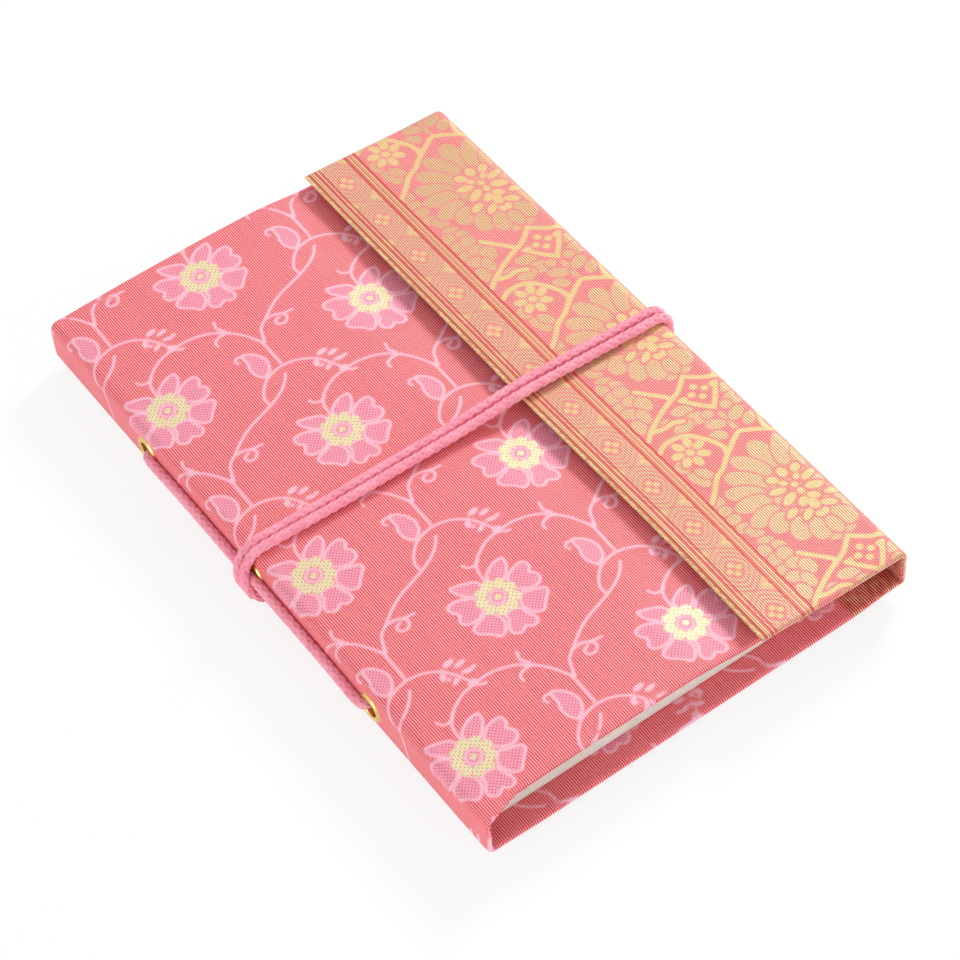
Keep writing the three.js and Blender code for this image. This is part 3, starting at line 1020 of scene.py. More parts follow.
@dataclass(frozen=True)
class BrocadeFinish:
    """Ribbed silk-like cloth with woven figures in pale pink and metal thread.

    `rib` and `thread` are the weave's pitches across and along, `stripes` the red threads as places
    from the `free_edge` of the flap with half widths, and `relief` the bump's depth and strength.
    """

    ground: tuple = colour(250, 122, 128)
    # painted shade: the colour of the troughs between the ribs
    rib_shade: tuple = colour(194, 44, 60)
    # painted highlight: the pale sheen of the silk on the rib crests
    glint: tuple = colour(254, 218, 220)
    pink: tuple = colour(252, 210, 224)
    pink_shade: tuple = colour(240, 140, 164)
    petal: tuple = colour(236, 128, 150)
    dot: tuple = colour(198, 70, 92)
    gold: tuple = colour(238, 217, 150)
    gold_shade: tuple = colour(184, 122, 78)
    tan: tuple = colour(228, 203, 150)
    tan_dot: tuple = colour(164, 78, 62)
    red: tuple = colour(200, 52, 62)
    pale_gold: tuple = colour(243, 233, 190)
    olive: tuple = colour(160, 132, 68)
    # painted shade: dark crimson for the border cloth's inner faces, which lie in shade; the pale floats are the
    # cloth's reverse
    reverse: tuple = colour(186, 18, 50)
    reverse_float: tuple = colour(250, 224, 176)
    rib: float = 0.5884
    thread: float = 0.4
    soft_edge: float = 0.12
    free_edge: float = 0.0
    stripes: tuple = (
        (2.7, 0.28), (3.75, 0.12), (11.7, 0.34), (14.4, 0.34), (0.95, 0.16), (13.0, 0.1),
    )
    stripe_edge: float = 0.16
    relief: tuple = (0.00008, 0.7)

    def build(self) -> Material:
        """The cloth's material, which reads the figures from the mesh.

        Returns:
            The material.
        """
        s = Shader(bpy.data.materials.new("woven_brocade"))
        u, v = s.place_on_cloth()
        line, mesh, gold, zone = (s.attribute(n) for n in ("line", "mesh", "gold", "zone"))
        rib = u.wave(self.rib)
        thread = v.wave(self.thread)
        tooth = (rib - 0.5) * 0.26 + (thread - 0.5) * 0.3
        stripe = self._stripes(s, u) * zone
        cover = 1.0 - zone
        pink, filled, metal = ((d + tooth).below(0.0, self.soft_edge) for d in (line, mesh, gold))
        dots = ((u + v).wave(1.05) * (u - v).wave(1.05)).step(0.42, 0.72)
        ground = self._ground(s, u, v, rib, thread)
        pale = s.mix((thread * 0.4 + rib * 0.6).step(0.1, 0.75), self.pink_shade, self.pink)
        petal = s.mix(dots * 0.85, s.mix(rib * 0.25 + 0.2, self.petal, pale), self.dot)
        grain = (rib * 0.55 + thread * 0.45).step(0.22, 0.72)
        bright = s.mix(grain, self.gold_shade, self.gold)
        tan = s.mix(grain, self.tan_dot, self.tan)
        specks = ((u * 0.9 + v).wave(1.3) * (u * 0.9 - v).wave(1.3)).step(0.62, 0.8)
        ground = s.mix(grain * zone * 0.18, ground, self.tan)
        body = s.mix(filled * cover, ground, petal)
        body = s.mix(pink * cover, body, pale)
        body = s.mix(filled * zone * 0.93, body, tan)
        centre = s.mix(grain * 0.5 + 0.5, self.gold_shade, self.pale_gold)
        centre = s.mix(specks * 0.75, centre, self.olive)
        body = s.mix(metal * 0.96, body, s.mix(cover, bright, centre))
        body = s.mix(stripe * 0.85, body, self.red)
        # inner faces of the border: pale floats of the cloth's reverse on a ground painted dark crimson as painted
        # shade
        loose = s.noise(s.vector(u, v * 0.3, 5.0), 1.0)
        floats = (rib * 0.75 + (thread - 0.5) * 0.3 + (loose - 0.5) * 0.6).step(0.5, 0.74)
        reverse = s.mix(floats, self.reverse, self.reverse_float)
        body = s.mix(s.attribute("inside") * zone, body, reverse)
        raised = pink.most(filled * 0.6)
        height = rib * 0.5 + thread * 0.25 + raised * 0.6 + metal * 0.6
        shine = metal.most(filled * zone)
        return s.surface(
            Base_Color=body,
            Roughness=0.56 - shine * 0.14 - raised * 0.08,
            Metallic=shine * 0.12,
            Normal=s.bump(height, *self.relief),
            Specular_IOR_Level=0.3,
        )

    def _stripes(self, s: Shader, u: Value) -> Value:
        """The thin red threads that run along the border.

        Args:
            s: The shader; not used.
            u: Place across the cloth.

        Returns:
            1 on a thread and 0 beside it.
        """
        found = None
        for place, half in self.stripes:
            near = (u - (self.free_edge + place)).unsigned()
            near = near.step(half, half + self.stripe_edge, 1.0, 0.0)
            found = near if found is None else found.most(near)
        return found

    def _ground(self, s: Shader, u: Value, v: Value, rib: Value, thread: Value) -> object:
        """The ribbed ground, with uneven threads and faint bars, painted shade in its rib troughs and painted
        highlights on its rib crests.

        Args:
            s: The shader.
            u: Place across the cloth.
            v: Place along the cloth.
            rib: Height of the ribs.
            thread: Height of the threads across them.

        Returns:
            The colour.
        """
        uneven = s.noise(s.vector(u * 1.9, v * 0.05), 1.0, 3.0)
        flecks = s.noise(s.vector(u * 1.6, v * 2.2, 3.0), 1.0, 1.0)
        bars = s.noise(s.vector(u * 0.02, v * 1.1, 7.0), 1.0, 2.0)
        clouds = s.noise(s.vector(u * 0.05, v * 0.05, 11.0), 1.0, 2.0)
        # painted shade: the low parts of the ribs take the darker rib colour, mixed with uneven threads
        depth = rib * 0.8 + thread * 0.2 + (uneven - 0.5) * 0.4 + (flecks - 0.5) * 0.2
        base = s.mix(depth.step(0.05, 0.6), self.rib_shade, self.ground)
        # painted highlights: pale sheen where the ribs and threads stand highest
        painted_highlight_mask = (rib * thread + (flecks - 0.5) * 0.6).step(0.38, 0.94)
        base = s.mix(painted_highlight_mask * 0.95, base, self.glint)
        shade = (bars - 0.5) * 0.14 + (clouds - 0.5) * 0.12 + 1.0
        return s.mix(1.0, base, s.vector(shade, shade, shade), "MULTIPLY")


@dataclass(frozen=True)
class LiningFinish:
    """Plain woven lining cloth."""

    base: tuple = colour(176, 36, 52)
    dark: tuple = colour(126, 20, 36)
    thread: float = 0.5
    relief: tuple = (0.00006, 0.7)

    def build(self) -> Material:
        """The lining's material.

        Returns:
            The material.
        """
        s = Shader(bpy.data.materials.new("lining_cloth"))
        u, v = s.place_on_cloth()
        weave = u.wave(self.thread) * 0.5 + v.wave(self.thread) * 0.5
        cloudy = s.noise(s.vector(u * 0.3, v * 0.3), 1.0, 4.0)
        tone = (weave * 0.6 + cloudy * 0.6).step(0.2, 0.9)
        return s.surface(
            Base_Color=s.mix(tone, self.dark, self.base),
            Roughness=0.78 - weave * 0.1,
            Normal=s.bump(weave + cloudy * 0.3, *self.relief),
            Sheen_Weight=0.15,
        )


@dataclass(frozen=True)
class PaperFinish:
    """Uncoated warm white sheets, darker in random flecks, with a few fibres."""

    base: tuple = colour(250, 247, 240)
    dark: tuple = colour(230, 222, 210)
    relief: tuple = (0.00004, 0.6)

    def build(self) -> Material:
        """The pages' material.

        Returns:
            The material.
        """
        s = Shader(bpy.data.materials.new("uncoated_paper"))
        where = s.object_place()
        fibre = s.noise(where, 900.0, 5.0, 0.7)
        cloud = s.noise(where, 60.0, 3.0)
        fleck = s.noise(where, 2400.0, 1.0).step(0.66, 0.74)
        tone = (fibre * 0.7 + cloud * 0.3).step(0.2, 0.7) - fleck * 0.25
        return s.surface(
            Base_Color=s.mix(tone, self.dark, self.base),
            Roughness=0.92 - fibre * 0.08,
            Normal=s.bump(fibre * 0.6 + cloud * 0.4, *self.relief),
            Specular_IOR_Level=0.3,
        )


@dataclass(frozen=True)
class CardFinish:
    """Grey-brown board with fibres and specks."""

    base: tuple = colour(190, 168, 138)
    dark: tuple = colour(140, 118, 92)
    relief: tuple = (0.00005, 0.7)

    def build(self) -> Material:
        """The board's material.

        Returns:
            The material.
        """
        s = Shader(bpy.data.materials.new("stiff_card"))
        where = s.object_place()
        fibre = s.noise(where, 700.0, 6.0, 0.75)
        speck = s.noise(where, 1700.0, 1.0).step(0.62, 0.7)
        tone = s.mix(fibre.step(0.3, 0.7), self.dark, self.base)
        return s.surface(
            Base_Color=s.mix(speck * 0.5, tone, self.dark),
            Roughness=0.9 - fibre * 0.06,
            Normal=s.bump(fibre, *self.relief),
        )


@dataclass(frozen=True)
class BrassFinish:
    """Polished brass, a little dulled and scratched."""

    base: tuple = colour(236, 200, 120)
    dull: tuple = colour(178, 132, 62)
    relief: tuple = (0.00002, 0.35)

    def build(self) -> Material:
        """The eyelets' material.

        Returns:
            The material.
        """
        s = Shader(bpy.data.materials.new("polished_brass"))
        where = s.object_place()
        cloud = s.noise(where, 420.0, 3.0)
        scratch = s.noise(where, 2600.0, 2.0, 0.7)
        return s.surface(
            Base_Color=s.mix(cloud.step(0.35, 0.75) * 0.6, self.base, self.dull),
            Metallic=1.0,
            Roughness=0.2 + cloud * 0.16 + scratch * 0.08,
            Normal=s.bump(scratch * 0.5 + cloud, *self.relief),
        )


@dataclass(frozen=True)
class CottonFinish:
    """Braided cotton yarn, or gold yarn, with its fibres."""

    name: str
    base: tuple
    shade: tuple
    # painted glints: the colour that the brightest fibres take
    glow: tuple
    sheen: tuple = colour(255, 205, 220)
    relief: tuple = (0.00009, 0.75)

    def build(self) -> Material:
        """The yarn's material.

        Returns:
            The material.
        """
        s = Shader(bpy.data.materials.new(self.name))
        where = s.object_place()
        fibre = s.noise(where, 3200.0, 4.0, 0.7)
        patch = s.noise(where, 260.0, 2.0)
        tone = s.mix((fibre * 0.65 + patch * 0.5).step(0.25, 0.8), self.shade, self.base)
        return s.surface(
            # painted glints: the brightest fibres take the glow colour
            Base_Color=s.mix(fibre.step(0.55, 0.8) * 0.45, tone, self.glow),
            Roughness=0.86 - fibre * 0.1,
            Normal=s.bump(fibre + patch * 0.4, *self.relief),
            Sheen_Weight=0.3,
            Sheen_Roughness=0.5,
            Sheen_Tint=self.sheen,
            Specular_IOR_Level=0.3,
        )


class Finishes:
    """Every material of the book but the brocade, which the cover makes."""

    def __init__(self) -> None:
        """Builds the materials."""
        self.lining = LiningFinish().build()
        self.paper = PaperFinish().build()
        self.card = CardFinish().build()
        self.brass = BrassFinish().build()
        self.cotton = CottonFinish(
            "cotton_yarn", colour(255, 172, 188), colour(240, 132, 154), colour(255, 212, 222)
        ).build()
        self.gold_yarn = CottonFinish(
            "gold_yarn", colour(246, 226, 164), colour(206, 118, 86), colour(255, 246, 214)
        ).build()


# ---------------------------------------------------------------- sheets that follow a path


class Path:
    """A line in X and Z with its length and its outward side."""

    def __init__(self, points: np.ndarray, outward: float) -> None:
        """Measures the line.

        Args:
            points: Places in X and Z, in order.
            outward: 1 or -1, for the side of the line that faces outwards.
        """
        self.p = np.array(points, float)
        gaps = np.hypot(*np.diff(self.p, axis=0).T)
        self.s = np.concatenate([[0], np.cumsum(gaps)])
        self.length = float(self.s[-1])
        step = np.gradient(self.p, axis=0)
        step /= np.hypot(*step.T)[:, None]
        self.n = outward * np.stack([-step[:, 1], step[:, 0]], 1)

    def at(self, s: np.ndarray) -> tuple:
        """Places and outward directions at distances along the line.

        Args:
            s: Distances along it.

        Returns:
            X, Z, and the two parts of the outward direction.
        """
        values = [np.interp(s, self.s, c) for c in (*self.p.T, *self.n.T)]
        size = np.hypot(values[2], values[3])
        return values[0], values[1], values[2] / size, values[3] / size


def corner(cx: float, cz: float, radius: float, start: float, end: float) -> list:
    """Points of a round fold, between two angles in degrees."""
    turns = np.radians(np.linspace(start, end, 25))
    return [(cx + radius * math.cos(t), cz + radius * math.sin(t)) for t in turns]


def finished(bm: bmesh.types.BMesh, name: str, sharp: float = 0.0) -> Object:
    """Ends a bmesh as a new object of the scene, with its place in its mesh.

    Args:
        bm: The bmesh, which is freed.
        name: The name of the mesh and the object.
        sharp: The angle in degrees past which an edge is shaded sharp; 0 keeps flat faces.

    Returns:
        The object.
    """
    if sharp:
        for face in bm.faces:
            face.smooth = True
    mesh = bpy.data.meshes.new(name)
    bm.to_mesh(mesh)
    bm.free()
    if sharp:
        mesh.set_sharp_from_angle(angle=math.radians(sharp))
    obj = bpy.data.objects.new(name, mesh)
    bpy.context.scene.collection.objects.link(obj)
    return obj


@dataclass
class Shell:
    """A closed sheet along a path: an outer and an inner face that meet in rounded edges.

    `low` and `high` give the sheet's ends in Y from the distance along the path, and `relief` the
    shift in X and Z at places on it. `across` and `from_edge` give the places that the figures are
    read at. `fine` and `along_step` are the grid's steps, and a `coarse` sheet has half as many on
    its inner face.
    """

    name: str
    path: Path
    thickness: float
    low: Callable
    high: Callable
    fine: float = 0.6
    coarse: bool = False
    start: float = 0.0
    end: float = 0.0
    start_round: bool = False
    end_round: bool = True
    depth: float = 0.0
    relief: Callable | None = None
    across: Callable | None = None
    from_edge: Callable | None = None
    along_step: float = 0.0
    FAR_FROM_BORDER: ClassVar[float] = 500.0
    WELD: ClassVar[float] = 2e-6

    @staticmethod
    def _fullness(share: float) -> float:
        """How full a rounded edge is at a share of its radius."""
        return math.sqrt(1 - (1 - share) ** 2)

    def _stations(self, low: float, high: float, step: float, ends: tuple) -> tuple:
        """Places along one direction, closer at rounded ends, with their fullness from 0 to 1.

        Args:
            low: Where it starts.
            high: Where it ends.
            step: The spacing between the ends.
            ends: Whether each end is rounded.

        Returns:
            The places and their fullness.
        """
        count = 2 * max(2, round((high - low) / step / 2))
        radius = min(self.thickness / 2, (high - low) / 6)
        places = np.linspace(low, high, count + 1)
        full = np.ones(count + 1)
        for at_end, is_round in enumerate(ends):
            edge = high if at_end else low
            sign = -1 if at_end else 1
            for i, share in enumerate(ROUNDING if is_round else (0.0, 0.0)):
                k = count - i if at_end else i
                places[k] = edge + sign * share * radius
                full[k] = self._fullness(share) if is_round else float(i > 0)
        return places, full

    def build(self, book: Book, weave: Weave | None = None) -> Object:
        """Makes the sheet as a new object.

        Args:
            book: Gives the way into the row frame.
            weave: The figures, where the sheet's material reads them.

        Returns:
            The object, with its place in its mesh.
        """
        end, height = self.end or self.path.length, 2 * book.s.half
        step, round_ends = self.along_step or self.fine, (self.start_round, self.end_round)
        s_at, s_full = self._stations(self.start, end, self.fine, round_ends)
        y_at, y_full = self._stations(0.0, 1.0, step / height, (True, True))
        rim = min(self.thickness / 2, 1.0) / height
        for k, share in enumerate(ROUNDING):
            y_at[k], y_at[-1 - k] = share * rim, 1 - share * rim
            y_full[k] = y_full[-1 - k] = self._fullness(share)
        y_full[len(ROUNDING) : -len(ROUNDING)] = 1.0
        bm = bmesh.new()
        ratio = 2 if self.coarse else 1
        for side, split in ((1, 1), (-1, ratio)):
            cells = [(len(a) - 1) // split for a in (s_at, y_at)]
            lift = Matrix.Translation((0, 0, side))
            made = bmesh.ops.create_grid(
                bm, x_segments=cells[0], y_segments=cells[1], size=1, matrix=lift
            )
            faces = {f for vert in made["verts"] for f in vert.link_faces}
            if split > 1:
                edges = {e for f in faces for e in f.edges if e.is_boundary}
                bmesh.ops.subdivide_edges(bm, edges=sorted(edges, key=lambda e: e.index), cuts=1)
            if side < 0:
                below = [f for f in bm.faces if f.calc_center_median().z < 0]
                bmesh.ops.reverse_faces(bm, faces=below)
        mesh = bpy.data.meshes.new(self.name)
        bm.to_mesh(mesh)
        bm.free()
        self._lay_out(mesh, book, weave, (s_at, s_full), (y_at, y_full))
        return self._close(mesh)

    def _lay_out(self, mesh: Mesh, book: Book, weave: Weave, across: tuple, along: tuple) -> None:
        """Moves the two flat grids onto the path, and writes the cloth's places and figures.

        Args:
            mesh: Both grids.
            book: Gives the way into the row frame.
            weave: The figures, or None.
            across: Places and fullness along the path.
            along: The same along the book, as shares of its height.
        """
        (s_at, s_full), (y_at, y_full) = across, along
        co = np.empty(len(mesh.vertices) * 3)
        mesh.vertices.foreach_get("co", co)
        co = co.reshape(-1, 3)
        i = (co[:, 0] + 1) / 2 * (len(s_at) - 1)
        j = (co[:, 1] + 1) / 2 * (len(y_at) - 1)
        steps = [np.arange(len(a)) for a in (s_at, y_at)]
        s, t = np.interp(i, steps[0], s_at), np.interp(j, steps[1], y_at)
        full = np.minimum(np.interp(i, steps[0], s_full), np.interp(j, steps[1], y_full))
        depth = self.depth + self.thickness / 2 * (1 - np.sign(co[:, 2]) * full)
        x, z, nx, nz = self.path.at(s)
        low, high = self.low(s), self.high(s)
        y = low + (high - low) * t
        if self.relief is not None:
            dx, dz = self.relief(x, y, s)
            x, z = x + dx, z + dz
        places = book.place(np.stack([x - nx * depth, y, z - nz * depth], 1))
        mesh.vertices.foreach_set("co", places.astype(np.float32).ravel())
        u = self.across(s) if self.across else s
        self._write_places(mesh, u, y)
        if weave is not None:
            from_edge = self.from_edge(s) if self.from_edge else s + self.FAR_FROM_BORDER
            figures = weave.read(u, y, from_edge)
            self._write_figures(mesh, {**figures, "inside": co[:, 2] < 0})

    @staticmethod
    def _write_places(mesh: Mesh, u: np.ndarray, y: np.ndarray) -> None:
        """Writes the cloth's UV map.

        Args:
            mesh: The sheet.
            u: Each vertex's place across the cloth.
            y: Each vertex's place along it.
        """
        corners = np.empty(len(mesh.loops), int)
        mesh.loops.foreach_get("vertex_index", corners)
        layer = mesh.uv_layers.new(name="cloth")
        uv = np.stack([u, y], 1)[corners] / CLOTH_UNIT
        layer.data.foreach_set("uv", uv.astype(np.float32).ravel())

    @staticmethod
    def _write_figures(mesh: Mesh, figures: dict) -> None:
        """Writes numbers on the vertices, for the material to read.

        Args:
            mesh: The sheet.
            figures: The figures' distances, and which face is the inner one.
        """
        for name, values in figures.items():
            attribute = mesh.attributes.new(name, "FLOAT", "POINT")
            attribute.data.foreach_set("value", values.astype(np.float32))

    def _close(self, mesh: Mesh) -> Object:
        """Joins the two faces where they meet, smooths the shading and makes the object.

        Args:
            mesh: Both faces, which is removed.

        Returns:
            The object.
        """
        bm = bmesh.new()
        bm.from_mesh(mesh)
        bpy.data.meshes.remove(mesh)
        rim = [v for v in bm.verts if v.is_boundary]
        bmesh.ops.remove_doubles(bm, verts=rim, dist=self.WELD)
        return finished(bm, self.name, 50)


def dressed(obj: Object, material: Material, slot: str, *nodes: str) -> Object:
    """Gives a piece its material, its slot and the nodes that it stands for.

    Args:
        obj: The piece.
        material: Its material.
        slot: The name of the record's material slot.
        nodes: The nodes that it replaces, if any.

    Returns:
        The same piece.
    """
    obj.data.materials.clear()
    obj.data.materials.append(material)
    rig.slot(obj, slot)
    if nodes:
        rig.replaces(obj, *nodes)
    log.info("%s: %d faces", obj.name, len(obj.data.polygons))
    return obj


# ---------------------------------------------------------------- cords


def run_length(points: np.ndarray) -> np.ndarray:
    """Distance along a polyline to each of its places."""
    gaps = np.linalg.norm(np.diff(points, axis=0), axis=1)
    return np.concatenate([[0], np.cumsum(gaps)])


def resampled(points: np.ndarray, step: float) -> np.ndarray:
    """A polyline's places at an even spacing.

    Args:
        points: The polyline, N by 3.
        step: The spacing.

    Returns:
        The evenly spaced places.
    """
    s = run_length(points)
    count = max(3, int(round(s[-1] / step)) + 1)
    at = np.linspace(0, s[-1], count)
    return np.stack([np.interp(at, s, c) for c in points.T], 1)


@dataclass
class Braid:
    """A tubular braid: strands wind both ways round a line, over and under each other."""

    radius: float = 1.25
    strands: int = 8
    pitch: float = 10.5
    strand: float = 0.55
    wave: float = 0.09
    core: float = 1.0
    step: float = 0.42

    def _frames(self, line: np.ndarray) -> tuple:
        """Two directions across the line at each place, without twist.

        Args:
            line: The middle line.

        Returns:
            Both directions, each as an N by 3 array.
        """
        along = np.gradient(line, axis=0)
        along /= np.linalg.norm(along, axis=1)[:, None]
        side = np.cross(along[0], (0.0, 0.3, 1.0) if abs(along[0][2]) < 0.9 else (0.0, 1.0, 0.0))
        sides = []
        for t in along:
            side = side - t * np.dot(side, t)
            side = side / np.linalg.norm(side)
            sides.append(side)
        sides = np.array(sides)
        return sides, np.cross(along, sides)

    def lines(self, line: np.ndarray) -> list:
        """The strands' own lines and half widths, as a list of pairs.

        Args:
            line: The cord's middle line, evenly spaced.

        Returns:
            Pairs of an N by 3 array and a half width.
        """
        first, second = self._frames(line)
        s = run_length(line)
        made = [(line, self.core)]
        for k in range(self.strands):
            hand = 1 if k % 2 else -1
            angle = hand * 2 * math.pi * s / self.pitch + 4 * math.pi * (k // 2) / self.strands
            crossing = np.cos(math.pi * self.strands * s / self.pitch)
            out = self.radius - self.strand + hand * self.wave * crossing
            around = np.cos(angle)[:, None] * first + np.sin(angle)[:, None] * second
            made.append((line + around * out[:, None], self.strand))
        return made


def evaluated(obj: Object) -> Mesh:
    """The mesh of a curve or of an object with modifiers."""
    state = bpy.context.evaluated_depsgraph_get()
    return bpy.data.meshes.new_from_object(obj.evaluated_get(state))


def tube(name: str, book: Book, lines: list, sides: int = 1) -> Object:
    """Round tubes along lines, joined in one mesh.

    Args:
        name: The piece's name.
        book: Gives the way into the row frame.
        lines: Pairs of places and a half width.
        sides: The roundness of the tubes.

    Returns:
        The object, with its place in its mesh.
    """
    bm = bmesh.new()
    for places, half in lines:
        curve = bpy.data.curves.new(name, "CURVE")
        curve.dimensions = "3D"
        curve.bevel_depth = half * MM
        curve.bevel_resolution = sides
        curve.use_fill_caps = True
        spline = curve.splines.new("POLY")
        spline.points.add(len(places) - 1)
        four = np.ones((len(places), 4))
        four[:, :3] = book.place(places)
        spline.points.foreach_set("co", four.ravel())
        holder = bpy.data.objects.new(name, curve)
        bpy.context.scene.collection.objects.link(holder)
        made = evaluated(holder)
        bm.from_mesh(made)
        bpy.data.objects.remove(holder)
        bpy.data.meshes.remove(made)
        bpy.data.curves.remove(curve)
    for vert in bm.verts:
        vert.co.z = max(vert.co.z, CLEAR_OF_TABLE)
    return finished(bm, name, 60)


@dataclass
class CordTie:
    """The cord: along the spine through the eyelets, and two strands wound once round the book.

    `offset` is half the distance between the strands, `under` their height below the book, `beside`
    and `inside` the spine cord's places in X outside and inside the spine, `start_of_run` the
    height where it passes to the spine, and `leave` how far from the fore-edge the tie is cut.
    """

    book: Book
    braid: Braid = field(default_factory=Braid)
    offset: float = 1.4
    under: float = -1.35
    beside: float = -1.4
    inside: float = 3.2
    off_eyelet: float = 1.2
    start_of_run: float = 3.0
    squeeze: float = 0.4
    leave: float = 14.0

    def spine_route(self, sign: float) -> list:
        """Half of the spine cord, from under the book to the crossing, on the head or tail side.

        Args:
            sign: 1 for the head side and -1 for the tail side.

        Returns:
            The points that it goes through.
        """
        middle, aside = self.book.s.eyelet_z, self.offset
        beside, inside = self.beside, self.inside
        hole = self.book.s.eyelet_spacing - self.off_eyelet
        corners = [
            (9, aside, self.under),
            (3.2, aside, self.under),
            (0.2, aside, -0.9),
            (beside + 0.2, aside, 1.4),
            (beside, aside, 3.4),
            (-0.4, aside, middle - 0.4),
            (1.6, aside, middle),
            (inside - 0.2, aside + 1, middle),
            (inside, 6, middle),
            (inside, hole - 5, middle),
            (inside - 0.4, hole - 1.2, middle),
            (1.6, hole + 0.1, middle),
            (-0.7, hole - 0.4, middle + 0.1),
            (beside, hole - 3.4, middle + 0.3),
            (beside + 0.1, hole - 14, middle + 0.6),
            (beside, 9, middle + 0.9),
            (beside - 0.1, 0, middle + 1.0),
        ]
        return [(x, sign * y, z) for x, y, z in corners]

    def build(self, finishes: Finishes) -> None:
        """Makes every stretch of the cord, on the bodies that carry it.

        Args:
            finishes: Every material.
        """
        self._spine_cord(finishes)
        for letter, y in (("a", self.offset), ("b", -self.offset)):
            self._strand(letter, y, finishes)

    def _piece(
        self, name: str, line: np.ndarray, finishes: Finishes, *nodes: str, squeezed: bool = False
    ) -> Object:
        """One stretch of the cord.

        Args:
            name: The piece's name.
            line: Its middle line.
            finishes: Every material.
            nodes: The nodes that it stands for.
            squeezed: Whether the part inside the spine is pressed flat against it.

        Returns:
            The piece.
        """
        obj = tube(name, self.book, self.braid.lines(line))
        if squeezed:
            inner = self.book.point(self.book.s.cover + 0.35, 0, 0)[0]
            for vert in obj.data.vertices:
                vert.co.x = min(vert.co.x, inner + max(0.0, vert.co.x - inner) * self.squeeze)
        return dressed(obj, finishes.cotton, "cord", *nodes)

    def _spine_cord(self, finishes: Finishes) -> None:
        """The cord behind the tie, with its two ends that turn under the book.

        Args:
            finishes: Every material.
        """
        point, runs = self.book.point, []
        for name, sign in (("head", 1), ("tail", -1)):
            line = resampled(rounded(self.spine_route(sign), False), self.braid.step)
            split = int(np.argmax(line[:, 2] > self.start_of_run))
            low = self._piece(f"cord_under_{name}", line[: split + 1], finishes)
            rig.blend(low, "back_cover", "spine", point(2.4, 0, -1.2), point(-1.2, 0, 2.2))
            runs.append(line[split:])
        whole = np.concatenate([runs[0], runs[1][::-1][1:]])
        main = self._piece("cord_spine_run", whole, finishes, "cord_spine", squeezed=True)
        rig.ride(main, "spine")

    def over_route(self, y: float) -> list:
        """One strand from the middle of the back, round the fore-edge, over the front to the spine.

        Args:
            y: Where it lies along the book; it drifts from there on its way over the front.

        Returns:
            The points that it goes through.
        """
        b, s = self.book, self.book.s
        w, lift, r = s.width, s.cord / 2 + 0.12, s.cord / 2 + 0.1
        side = w + r + 0.02

        def on_flap(x: float, above: float) -> tuple:
            """A place on the flap."""
            return x, y, float(b.flap(x)) + lift + above

        def on_front(share: float, drift: float, aside: float, above: float) -> tuple:
            """A place on the front cover, at a share of its width."""
            return share * w, y * drift + aside, float(b.front(share * w)) + lift + above

        return [
            *[(x, y, self.under) for x in (4, 20, w - 12, w - 4)],
            (w - 0.4, y, -0.6),
            (side, y, 2.6),
            (side, y, s.spine - 2.6),
            (w - 0.6, y, s.spine + 0.7),
            (w - 3.4, y, s.spine + r + 0.05),
            on_flap(w - 8, 0.0),
            on_flap(w - 20, 0.1),
            on_flap(s.flap_start + 8, 0.15),
            (s.flap_start - 0.5, y, float(b.flap(s.flap_start)) + lift),
            on_front(0.5, 0.96, 0.0, 0.7),
            on_front(0.36, 0.93, 0.0, 0.3),
            on_front(0.19, 0.9, 0.2, 0.1),
            on_front(0.07, 0.9, 1.0, 0.05),
            (1.6, y * 0.9 + 1.6, s.spine + 0.9),
            (-1.4, y * 0.9 + 1.5, s.spine - 1.2),
            (-2.9, y * 0.9 + 0.9, s.eyelet_z + 3.2),
            (-3.6, y * 0.85 - 0.2, s.eyelet_z + 0.9),
            (-3.1, y * 0.85 - 1.7, s.eyelet_z - 1.4),
            (-1.8, y * 0.85 - 2.8, s.eyelet_z - 2.4),
        ]

    def _strand(self, letter: str, y: float, finishes: Finishes) -> None:
        """One strand of the tie, cut where it passes from one moving body to the next.

        Args:
            letter: The strand's letter in the names.
            y: Where it lies along the book.
            finishes: Every material.
        """
        point, w = self.book.point, self.book.s.width
        line = resampled(rounded(self.over_route(y), False), self.braid.step)
        x, z = line[:, 0], line[:, 2]
        under = int(np.argmax(x > w - self.leave))
        middle = int(np.argmax((x > w) & (z > self.book.s.spine / 2)))
        over = int(np.argmax((np.arange(len(line)) > middle) & (x < w - self.leave)))
        rows = (
            ("tie_under", 0, under, (f"tie_back_{letter}",)),
            ("tie_fore_low", under, middle, (f"tie_fore_edge_{letter}",)),
            ("tie_fore_high", middle, over, ()),
            ("tie_over", over, len(line) - 1, (f"tie_flap_{letter}",)),
        )
        pieces = [
            self._piece(f"{name}_{letter}", line[a : b + 1], finishes, *nodes)
            for name, a, b, nodes in rows
        ]
        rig.ride(pieces[0], "back_cover")
        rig.blend(pieces[1], "back_cover", "fore_edge", point(w - 4, 0, 0), point(w, 0, 4.5))
        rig.blend(pieces[2], "fore_edge", "flap", point(w, 0, 8.5), point(w - 4, 0, 13))
        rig.ride(pieces[3], "flap")


# ---------------------------------------------------------------- the cover


@dataclass(frozen=True)
class Panel:
    """One panel of the wrap, with the path and the relief that its layers follow."""

    name: str
    body: str
    path: Path
    relief: Callable | None = None


@dataclass(frozen=True)
class Layer:
    """A layer inside the wrap, cut into one piece for each panel.

    `recess` is its distance from the head and the tail, `fold` the place where it starts past a
    fold, `strip` and `fore` what it leaves free of the spine's strip and of the fore-edge, `short`
    what it leaves free at a panel's far end, and `hole` the radius of its holes for the eyelets.
    """

    kind: str
    material: Material
    nodes: dict
    thickness: float
    depth: float
    recess: float
    fold: float
    step: float
    strip: float
    fore: float
    hole: float
    short: dict


